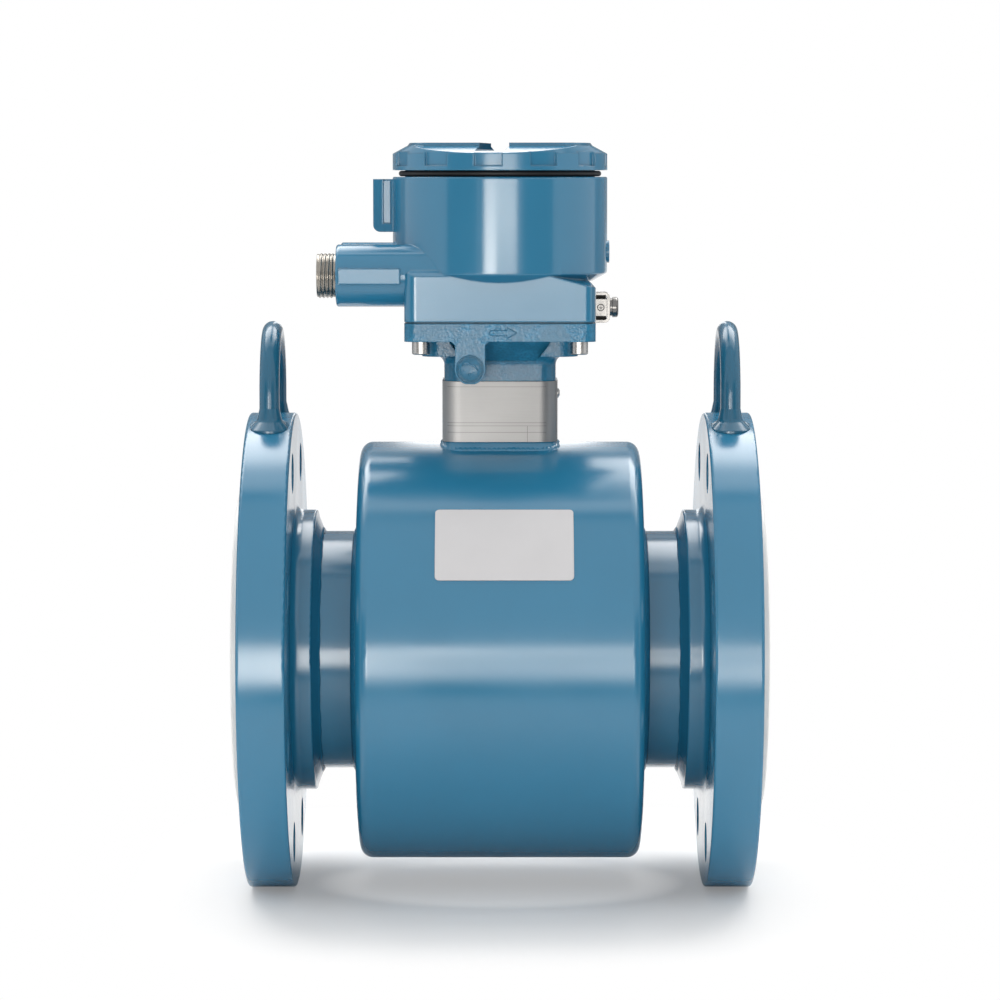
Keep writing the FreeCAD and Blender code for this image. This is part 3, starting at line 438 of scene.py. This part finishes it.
own_finish = {
    # The lifting eyes take the darker copy of the paint, which is painted shade.
    "inlet_lifting_eye": "eye_paint",
    "outlet_lifting_eye": "eye_paint",
    "neck_adapter": "rough_cast",
    "junction_box": "box_paint",
    "cover": "cover_paint",
    "box_gasket": "gasket_sheet",
    "ground_clamp": "block_steel",
    "ground_block": "block_steel",
    "ground_washer": "clamp_steel",
    "ground_screw": "clamp_steel",
}


def dress_frame():
    """Give each CAD node its own finish, or else that of its slot."""
    for part in frame["record"]["subparts"]:
        node = cad[part["node"]]
        finish = own_finish.get(part["node"], part["material_slot"])
        node.data.materials.clear()
        node.data.materials.append(finishes[finish])


# Mesh helpers


def mesh_piece(name, vertices, faces, finish, body="meter", smooth=True):
    """New piece in the frame, riding on a body."""
    mesh = bpy.data.meshes.new(name)
    mesh.from_pydata([tuple(vertex) for vertex in vertices], [], faces)
    mesh.update()
    for face in mesh.polygons:
        face.use_smooth = smooth
    mesh.materials.append(finishes[finish])
    piece = bpy.data.objects.new(name, mesh)
    scene.collection.objects.link(piece)
    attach(piece, body)
    return piece


def grid_faces(rows, columns, close_rows):
    """Quads of a grid whose columns wrap round, and whose rows may."""
    faces = []
    for i in range(rows if close_rows else rows - 1):
        for j in range(columns):
            after = (i + 1) % rows
            beside = (j + 1) % columns
            faces.append((i * columns + j, after * columns + j,
                          after * columns + beside, i * columns + beside))
    return faces


def rectangle(left, right, low, high):
    """Corners of a rectangle, starting at the lower left."""
    return [(left, low), (right, low), (right, high), (left, high)]


def weld_bead(name, path, half_width, half_height, pitch, wave=0.16, finish="blue_paint",
              sides=10):
    """Closed rippled bead along a closed path of (point, outward normal)."""
    slow_wander, quick_wander = 0.08, 0.05
    bow = 1.8
    count = len(path)
    length = sum((path[i][0] - path[i - 1][0]).length for i in range(count))
    ripples = max(1, round(length / pitch))
    vertices = []
    travelled = 0.0
    for i, (point, normal) in enumerate(path):
        before, after = path[i - 1][0], path[(i + 1) % count][0]
        travelled += (point - before).length
        along = (after - before).normalized()
        side = along.cross(normal).normalized()
        up = side.cross(along).normalized()
        phase = 2 * math.pi * ripples * travelled / length
        wander = slow_wander * math.sin(phase / 9.0) + quick_wander * math.sin(phase / 3.7 + 1.0)
        for j in range(sides):
            turn = 2 * math.pi * j / sides
            across, lift = math.cos(turn), math.sin(turn)
            crescent = phase - bow * across * across
            swell = 1.0 + wander + wave * math.cos(crescent) * max(lift, 0.0)
            vertices.append(point + side * (half_width * across * (1.0 + wander))
                            + up * (half_height * lift * swell))
    return mesh_piece(name, vertices, grid_faces(count, sides, True), finish)


# Welds


def ring_path(x, radius, lean, count):
    """Circle round the pipe, its normal leaning along X."""
    path = []
    for i in range(count):
        turn = 2 * math.pi * i / count
        outward = Vector((0.0, math.cos(turn), math.sin(turn)))
        normal = (outward + Vector((lean, 0.0, 0.0))).normalized()
        path.append((Vector((x, 0.0, 0.0)) + outward * radius, normal))
    return path


def pipe_welds():
    """Beads where the pipe enters the coil housing and the hubs of the flanges."""
    around = 840
    shell_inset, shell_lift = 1.9 * mm, 1.5 * mm
    shell_bead = (2.1 * mm, 0.7 * mm, 2.4 * mm)
    hub_inset, hub_lift = 1.5 * mm, 1.7 * mm
    hub_bead = (2.4 * mm, 0.7 * mm, 2.6 * mm)
    for side, end in ((-1, "inlet"), (1, "outlet")):
        path = ring_path(side * (shell_high.x - shell_inset), tube_r + shell_lift, side, around)
        weld_bead(f"{end}_shell_weld", path, *shell_bead)
        path = ring_path(side * (flange_low.x + hub_inset), tube_r + hub_lift, -side, around)
        weld_bead(f"{end}_hub_weld", path, *hub_bead)


def neck_weld():
    """Bead round the foot of the neck, laid on the round housing."""
    side_reach, front_reach = 0.6 * mm, 1.0 * mm
    corner = 9.0 * mm
    step = 0.4 * mm
    bead = (1.9 * mm, 1.1 * mm, 2.3 * mm)
    flat = rounded_rectangle(neck_half_x + side_reach, neck_half_y + front_reach, corner, step)
    path = []
    for x, y, nx, ny in flat:
        z = math.sqrt(shell_r ** 2 - y * y)
        skin = Vector((0.0, y, z)).normalized()
        path.append((Vector((x, y, z)), (skin + Vector((nx, ny, 0.0))).normalized()))
    weld_bead("neck_weld", path, *bead)


def rounded_rectangle(half_x, half_y, corner, step):
    """Even points (x, y, normal x, normal y) round a rounded rectangle."""
    points = []
    corners = ((1, 1, 0), (-1, 1, 90), (-1, -1, 180), (1, -1, 270))
    for index, (sx, sy, start) in enumerate(corners):
        centre = Vector((sx * (half_x - corner), sy * (half_y - corner)))
        arc_steps = max(4, round(corner * math.pi / 2 / step))
        for k in range(arc_steps + 1):
            turn = math.radians(start + 90 * k / arc_steps)
            normal = Vector((math.cos(turn), math.sin(turn)))
            points.append((centre + normal * corner, normal))
        following = corners[(index + 1) % 4]
        target = Vector((following[0] * (half_x - corner), following[1] * (half_y - corner)))
        target += normal * corner
        run = (target - points[-1][0]).length
        straight = max(2, round(run / step))
        origin = points[-1][0]
        for k in range(1, straight):
            points.append((origin.lerp(target, k / straight), normal))
    return [(p.x, p.y, n.x, n.y) for p, n in points]


def eye_welds():
    """Bead round each foot of the lifting eyes, laid on the flange rim."""
    eye_x = (eye_low.x + eye_high.x) / 2
    foot_y = 30.0 * mm
    radius = 7.9 * mm
    around = 150
    bead = (2.6 * mm, 0.6 * mm, 2.3 * mm)
    ripple = 0.4
    for side, end in ((-1, "inlet"), (1, "outlet")):
        for row, face in ((-1, "front"), (1, "rear")):
            path = []
            for i in range(around):
                turn = 2 * math.pi * i / around
                x = side * eye_x + radius * math.cos(turn)
                y = row * foot_y + radius * math.sin(turn)
                z = math.sqrt(rim_r ** 2 - y * y)
                skin = Vector((0.0, y, z)).normalized()
                away = Vector((math.cos(turn), math.sin(turn), 0.0))
                path.append((Vector((x, y, z)), (skin + 0.5 * away).normalized()))
            weld_bead(f"{end}_{face}_eye_weld", path, *bead, ripple, "eye_paint")


# Threads


def thread_wave(turns):
    """Sharp-crested wave of a thread, from zero at the root to one at the crest."""
    steepness, root_flat = 1.25, 0.1
    part = turns - math.floor(turns)
    return min(1.0, max(0.0, steepness * (1.0 - abs(2.0 * part - 1.0)) - root_flat))


def threaded_nipple():
    """Conduit nipple with its pipe thread, in place of the plain one."""
    pitch = 1.81 * mm
    crest = (nipple_high.z - nipple_low.z) / 2
    depth = 0.6 * mm
    bore = 7.9 * mm
    seat = 10.2 * mm
    chamfer = 1.2 * mm
    run_out = 0.9 * mm
    start_gap = 0.15 * mm
    y = (nipple_low.y + nipple_high.y) / 2
    z = (nipple_low.z + nipple_high.z) / 2
    end = nipple_low.x
    root = end + 8.3 * mm
    around = 120
    step = pitch / 12
    stations = [end + start_gap + k * step for k in range(int((root - end - start_gap) / step))]
    rings = [(nipple_high.x, bore, False), (end, bore, False), (end, crest - chamfer, False)]
    rings += [(x, None, True) for x in stations]
    rings += [(root, seat, False), (nipple_high.x, seat, False)]
    vertices = []
    for x, radius, threaded in rings:
        fade = min(1.0, (x - end) / chamfer, max(0.0, (root - x) / run_out))
        for j in range(around):
            turn = 2 * math.pi * j / around
            r = radius
            if threaded:
                wave = thread_wave((x - end) / pitch + j / around)
                r = crest - depth + depth * wave * fade
            vertices.append((x, y + r * math.cos(turn), z + r * math.sin(turn)))
    piece = mesh_piece("threaded_nipple", vertices, grid_faces(len(rings), around, True),
                       "nipple_steel")
    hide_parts("conduit_nipple")


def cover_thread():
    """Ridges of the thread on the cover's spigot, seen when it is unscrewed."""
    pitch = 2.0 * mm
    skin = 44.7 * mm
    ridge = 0.24 * mm
    proud = 0.02 * mm
    wall = 0.2 * mm
    low = cover_low.z + 1.2 * mm
    high = box_high.z - 1.4 * mm
    around = 180
    turn_rows = 8
    rows = turn_rows * round((high - low) / pitch)
    vertices = []
    for i in range(rows + 1):
        z = low + (high - low) * i / rows
        for j in range(around):
            turn = 2 * math.pi * j / around
            fade = min(1.0, i / turn_rows, (rows - i) / turn_rows)
            r = skin + proud + ridge * fade * thread_wave((z - low) / pitch - j / around)
            vertices.append((r * math.cos(turn), r * math.sin(turn), z))
    inner = skin - wall
    for z in (high, low):
        for j in range(around):
            turn = 2 * math.pi * j / around
            vertices.append((inner * math.cos(turn), inner * math.sin(turn), z))
    mesh_piece("cover_thread", vertices, grid_faces(rows + 3, around, True), "cast_paint",
               "lid")


# Small fittings


def turned_about_y(name, profile, centre, finish, around=64):
    """Closed turned piece about an axis along Y; profile points are (y, radius)."""
    vertices = []
    for y, radius in profile:
        for j in range(around):
            turn = 2 * math.pi * j / around
            vertices.append((centre.x + radius * math.cos(turn), y,
                             centre.z + radius * math.sin(turn)))
    return mesh_piece(name, vertices, grid_faces(len(profile), around, True), finish)


def boss_dish():
    """Dished plug with a raised curl, in the recess of the adapter's round boss."""
    centre = Vector((boss_x, 0.0, boss_z))
    face = adapter_low.y + 0.6 * mm
    back = face + 1.95 * mm
    rim_face = face + 0.35 * mm
    edge_r, rim, pin_r = 5.35 * mm, 0.35 * mm, 0.02 * mm
    drop, bowl = 0.8 * mm, 0.6 * mm
    profile = [(back, pin_r), (back, edge_r), (rim_face, edge_r)]
    steps = 14
    for k in range(steps + 1):
        part = 1.0 - k / steps
        profile.append((face + drop + bowl * (1.0 - part * part), pin_r + (edge_r - rim) * part))
    turned_about_y("boss_dish", profile, centre, "rough_cast")
    mark = [(-3.5, 1.7), (-2.9, 2.9), (-1.6, 3.3), (-0.6, 2.4), (0.4, 1.9), (1.6, 1.7), (2.6, 0.9),
            (3.5, -0.6)]
    tail = [(-0.3, -3.0), (-0.3, -2.6), (-0.3, -2.2), (-0.3, -1.9)]
    y = face + 0.95 * mm
    for name, points, radius in (("dish_mark", mark, 0.42 * mm), ("dish_drop", tail, 0.5 * mm)):
        run = [Vector((centre.x + px * mm, y, centre.z + pz * mm)) for px, pz in points]
        rod_along(name, run, radius, "cast_paint")


def rod_along(name, run, radius, finish, sides=12):
    """Rod with narrowed ends through an open row of points in an XZ plane."""
    tip_share = 0.35
    last = len(run) - 1
    vertices = []
    for i, point in enumerate(run):
        along = (run[min(i + 1, last)] - run[max(i - 1, 0)]).normalized()
        side = along.cross(Vector((0.0, 1.0, 0.0))).normalized()
        r = radius * (tip_share if i in (0, last) else 1.0)
        for j in range(sides):
            turn = 2 * math.pi * j / sides
            vertices.append(point + side * (r * math.cos(turn))
                            + Vector((0.0, r * math.sin(turn), 0.0)))
    faces = grid_faces(len(run), sides, False)
    faces.append(tuple(range(sides)))
    faces.append(tuple(range(last * sides + sides - 1, last * sides - 1, -1)))
    return mesh_piece(name, vertices, faces, finish)


def arrow_edge():
    """Rounded fillet round the raised flow arrow."""
    y = gasket_low.y - 0.1 * mm
    z = adapter_high.z - 4.25 * mm
    left, right, neck = -4.7 * mm, 7.9 * mm, 3.3 * mm
    shaft, head = 1.1 * mm, 2.5 * mm
    step = 0.25 * mm
    bead = 0.42 * mm
    corners = [(left, -shaft), (neck, -shaft), (neck, -head), (right, 0.0), (neck, head),
               (neck, shaft), (left, shaft)]
    path = []
    for index, (x, height) in enumerate(corners):
        after_x, after_height = corners[(index + 1) % len(corners)]
        steps = max(2, round(math.hypot(after_x - x, after_height - height) / step))
        for k in range(steps):
            part = k / steps
            path.append((Vector((x + (after_x - x) * part, y, z + height
                                 + (after_height - height) * part)), Vector((0.0, -1.0, 0.0))))
    weld_bead("arrow_edge", path, bead, bead, 50.0 * mm, wave=0.0)


def lug_strip():
    """Smooth floor of the groove in the side lug."""
    y = -6.1 * mm
    thickness = 0.4 * mm
    left, right = -55.6 * mm, -52.3 * mm
    low, high = box_high.z - 22.0 * mm, box_high.z - 1.6 * mm
    outline = rectangle(left, right, low, high)
    flat_piece("lug_strip", outline, y, thickness, "cast_paint")


def clamp_webs():
    """Web of the bent clamp strip, above and below the block, in near black steel as painted shade
    inside the clamp.
    """
    low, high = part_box("ground_clamp")
    inset = 0.9 * mm
    lap = 0.2 * mm
    thickness = 1.2 * mm
    left, right = low.x + lap, block_high.x - 0.3 * mm
    y = (block_low.y + block_high.y) / 2
    for word, bottom, top in (("upper", block_high.z - lap, high.z - inset),
                              ("lower", low.z + inset, block_low.z + lap)):
        outline = rectangle(left, right, bottom, top)
        flat_piece(f"{word}_clamp_web", outline, y, thickness, "painted_shade_steel")


def flat_piece(name, outline, y, thickness, finish):
    """Thin plate in the XZ plane, its front towards -Y."""
    count = len(outline)
    vertices = [(x, y, z) for x, z in outline] + [(x, y + thickness, z) for x, z in outline]
    faces = [tuple(range(count)), tuple(range(2 * count - 1, count - 1, -1))]
    faces += [(i, i + count, (i + 1) % count + count, (i + 1) % count) for i in range(count)]
    return mesh_piece(name, vertices, faces, finish, smooth=False)


def earth_sign():
    """The usual earth sign, filled with black, on the front of the clamp block."""
    aside = 0.1 * mm
    proud = 0.02 * mm
    x = (block_low.x + block_high.x) / 2 + aside
    z = (block_low.z + block_high.z) / 2
    y = block_low.y - proud
    deep = 0.1 * mm
    ring = 1.75 * mm
    line = 0.42 * mm
    around = 40
    vertices = []
    for radius, depth in ((ring, 0.0), (ring - line, 0.0), (ring - line, deep), (ring, deep)):
        for j in range(around):
            turn = 2 * math.pi * j / around
            vertices.append((x + radius * math.cos(turn), y + depth, z + radius * math.sin(turn)))
    mesh_piece("earth_ring", vertices, grid_faces(4, around, True), "etch_ink")
    bars = [(0.0, 0.55, 0.09, 0.55), (0.0, 0.0, 0.95, 0.1), (0.0, -0.38, 0.62, 0.1),
            (0.0, -0.76, 0.3, 0.1)]
    for index, (bx, bz, half_x, half_z) in enumerate(bars):
        outline = rectangle(x + (bx - half_x) * mm, x + (bx + half_x) * mm,
                            z + (bz - half_z) * mm, z + (bz + half_z) * mm)
        flat_piece(f"earth_bar_{index}", outline, y, deep, "etch_ink")


# Studio


def stage_mesh(name, vertices, faces, material, camera_sees):
    """Floor, panel or card of the studio, not part of the object."""
    mesh = bpy.data.meshes.new(name)
    mesh.from_pydata(vertices, [], faces)
    mesh.materials.append(material)
    card = bpy.data.objects.new(name, mesh)
    scene.collection.objects.link(card)
    card.visible_camera = camera_sees


def seen_directly(tree):
    """One for camera, glossy and transmission rays."""
    path = add_node(tree, "ShaderNodeLightPath")
    near = calc(tree, "MAXIMUM", path.outputs["Is Camera Ray"], path.outputs["Is Glossy Ray"])
    return calc(tree, "MAXIMUM", near, path.outputs["Is Transmission Ray"])


def make_world():
    """Plain white all round."""
    world = bpy.data.worlds.new("studio")
    world.use_nodes = True
    scene.world = world
    background = world.node_tree.nodes["Background"]
    background.inputs["Color"].default_value = (1.0, 1.0, 1.0, 1.0)
    background.inputs["Strength"].default_value = 1.0


def oval(tree, x, y, half_x, half_y, power):
    """Distance from the middle of a rounded oval, one on its edge."""
    across = calc(tree, "POWER", calc(tree, "DIVIDE", x, half_x), power)
    along = calc(tree, "POWER", calc(tree, "DIVIDE", y, half_y), power)
    return calc(tree, "POWER", calc(tree, "ADD", across, along), 1 / power)


def make_floor():
    """Pale round floor that keeps the shadow and fades into white; painted light glows into the shadow
    under the housing.
    """
    floor_grey = 0.86
    foot_x, foot_y, foot_power = 0.165, 0.205, 4.0
    belly_x, belly_y, belly_power = 0.1, 0.075, 2.0
    belly_glow, near_glow = 0.36, 0.2
    radius, centre_y, around = 0.6, 0.2, 96
    material = bpy.data.materials.new("floor")
    material.use_nodes = True
    tree = material.node_tree
    tree.nodes.remove(tree.nodes["Principled BSDF"])
    output = tree.nodes["Material Output"]
    split = add_node(tree, "ShaderNodeSeparateXYZ", {}, {0: places(tree)})
    x, y = (calc(tree, "ABSOLUTE", split.outputs[key]) for key in ("X", "Y"))
    distance = oval(tree, x, y, foot_x, foot_y, foot_power)
    grey = (floor_grey, floor_grey, floor_grey, 1.0)
    diffuse = add_node(tree, "ShaderNodeBsdfDiffuse", {}, {"Color": grey})
    glow = add_node(tree, "ShaderNodeEmission", {}, {"Color": (1.0, 1.0, 1.0, 1.0)})
    path = add_node(tree, "ShaderNodeLightPath")
    # Painted light: the floor glows into the shadow right under the housing.
    painted_light_under_shell = ramp(tree, oval(tree, x, y, belly_x, belly_y, belly_power), 0.7, 1.15,
                       belly_glow, 0.0)
    faded = calc(tree, "MAXIMUM", ramp(tree, distance, 0.66, 1.1, near_glow, 1.0), painted_light_under_shell)
    to_eye = calc(tree, "MULTIPLY", faded, path.outputs["Is Camera Ray"])
    to_gloss = calc(tree, "MULTIPLY", ramp(tree, distance, 1.1, 2.4), seen_directly(tree))
    factor = calc(tree, "MAXIMUM", to_eye, to_gloss)
    mix = add_node(tree, "ShaderNodeMixShader", {},
                   {0: factor, 1: diffuse.outputs[0], 2: glow.outputs[0]})
    tree.links.new(mix.outputs[0], output.inputs["Surface"])
    vertices = [(radius * math.cos(2 * math.pi * j / around),
                 centre_y + radius * math.sin(2 * math.pi * j / around), floor_z)
                for j in range(around)]
    stage_mesh("floor", vertices, [tuple(range(around))], material, True)


def panel_material(name, level_of, colour):
    """Emission whose level is worked out from the place on the panel."""
    material = bpy.data.materials.new(name)
    material.use_nodes = True
    tree = material.node_tree
    tree.nodes.remove(tree.nodes["Principled BSDF"])
    split = add_node(tree, "ShaderNodeSeparateXYZ", {}, {0: places(tree)})
    level = level_of(tree, *(split.outputs[key] for key in ("X", "Y", "Z")))
    glow = add_node(tree, "ShaderNodeEmission", {}, {"Color": (*colour, 1.0), "Strength": level})
    tree.links.new(glow.outputs[0], tree.nodes["Material Output"].inputs["Surface"])
    return material


def front_level(tree, x, y, z):
    """Front light, strongest on the left and along its top."""
    left_glow, middle_glow, right_glow, top_glow = 12.0, 2.5, 4.4, 8.8
    top_start, top_full = 0.135, 0.175
    open_part = calc(tree, "MULTIPLY", window(tree, x, -0.58, 0.64, 0.12),
                     window(tree, z, -0.30, 0.27, 0.05))
    right_side = calc(tree, "MULTIPLY", ramp(tree, x, 0.0, 0.2, 0.0, right_glow),
                      ramp(tree, z, -0.02, 0.04, 1.0, 0.0))
    low_level = calc(tree, "MULTIPLY", ramp(tree, z, top_start, top_full, 1.0, 0.0),
                     calc(tree, "ADD", ramp(tree, x, -0.22, -0.07, left_glow, middle_glow),
                          right_side))
    level = calc(tree, "ADD", low_level, ramp(tree, z, top_start, top_full, 0.0, top_glow))
    return calc(tree, "MULTIPLY", open_part, level)


def top_level(tree, x, y, z):
    """Overhead light with a gap over the object, brighter at its sides and faint far back."""
    near_glow, back_glow, side_glow, far_glow = 2.2, 2.4, 1.7, 0.35
    gap_half = 0.09
    aside = calc(tree, "ABSOLUTE", x)
    sides = calc(tree, "MULTIPLY", ramp(tree, aside, gap_half, 0.13, 0.0, side_glow),
                 ramp(tree, y, 0.12, 0.4))
    gap = calc(tree, "MULTIPLY", window(tree, y, 0.05, 0.40, 0.03),
               ramp(tree, aside, gap_half, 0.105, 1.0, 0.0))
    span = calc(tree, "SUBTRACT", window(tree, y, -0.105, 1.14, 0.06), gap)
    near = calc(tree, "MULTIPLY", span,
                calc(tree, "MULTIPLY", ramp(tree, y, 0.2, 1.0, near_glow, back_glow),
                     calc(tree, "ADD", 1.0, sides)))
    far = ramp(tree, y, 1.24, 1.30, 0.0, far_glow)
    return calc(tree, "MULTIPLY", calc(tree, "ADD", near, far), window(tree, x, -0.95, 0.95, 0.1))


def rear_level(tree, x, y, z):
    """Light behind the object, brighter low down and in a strip up the middle."""
    low_glow, high_glow, strip_glow = 1.2, 0.35, 2.4
    strip = calc(tree, "MULTIPLY",
                 ramp(tree, calc(tree, "ABSOLUTE", x), 0.09, 0.11, strip_glow, 0.0),
                 ramp(tree, z, 0.15, 0.25))
    level = calc(tree, "ADD", ramp(tree, z, 0.08, 0.2, low_glow, high_glow), strip)
    return calc(tree, "MULTIPLY", window(tree, x, -1.1, 1.1, 0.1), level)


def left_level(tree, x, y, z):
    """Low light on the left, beside the front light."""
    glow = 2.6
    return calc(tree, "MULTIPLY", window(tree, x, -1.4, -0.78, 0.06),
                calc(tree, "MULTIPLY", window(tree, z, -0.3, -0.02, 0.04), glow))


def light_panel(name, corners, level_of, colour):
    """Four-cornered light that the camera doesn't see."""
    stage_mesh(name, corners, [(0, 1, 2, 3)], panel_material(name, level_of, colour), False)


def upright_corners(y, span):
    """Corners of a panel that faces along Y."""
    (left, right), (low, high) = span
    return [(x, y, z) for x, z in rectangle(left, right, low, high)]


def flat_corners(z, span):
    """Corners of a panel that faces along Z."""
    (left, right), (near, far) = span
    return [(x, y, z) for x, y in rectangle(left, right, near, far)]


def make_lights():
    """Light panels in front, overhead, behind and at the left."""
    light_panel("front_light", upright_corners(front_y, front_span), front_level, front_white)
    light_panel("top_light", flat_corners(top_z, top_span), top_level, top_white)
    light_panel("rear_light", upright_corners(rear_y, rear_span), rear_level, rear_white)
    light_panel("left_light", upright_corners(left_y, left_span), left_level, left_white)


def make_flags():
    """Grey cards on a circle round the object, which give the gloss its darker edges."""
    material, _, shader = new_material("flag", flag_grey)
    shader.inputs["Base Color"].default_value = (*flag_grey, 1.0)
    radius = 2.3
    spans = ((24, 58, -0.7, 0.9), (122, 154, -0.5, 0.9))
    steps = 12
    for side, word in ((-1, "left"), (1, "right")):
        for start, end, low, high in spans:
            vertices = []
            for k in range(steps + 1):
                turn = math.radians(start + (end - start) * k / steps)
                x = side * radius * math.sin(turn)
                y = -radius * math.cos(turn)
                vertices += [(x, y, low), (x, y, high)]
            faces = [(2 * k, 2 * k + 2, 2 * k + 3, 2 * k + 1) for k in range(steps)]
            stage_mesh(f"flag_{word}_{start}", vertices, faces, material, False)


def make_camera():
    """Camera in front, a little above the object and looking slightly down."""
    data = bpy.data.cameras.new("camera")
    data.lens = camera_lens
    data.sensor_width = camera_sensor
    data.clip_start = 0.05
    data.clip_end = 50.0
    camera = bpy.data.objects.new("camera", data)
    scene.collection.objects.link(camera)
    camera.location = camera_place
    camera.rotation_euler = (math.pi / 2 - camera_pitch, 0.0, 0.0)
    scene.camera = camera


dress_frame()
pipe_welds()
neck_weld()
eye_welds()
threaded_nipple()
cover_thread()
boss_dish()
arrow_edge()
lug_strip()
earth_sign()
clamp_webs()
make_world()
make_floor()
make_lights()
make_flags()
make_camera()
scene.view_settings.view_transform = "Standard"
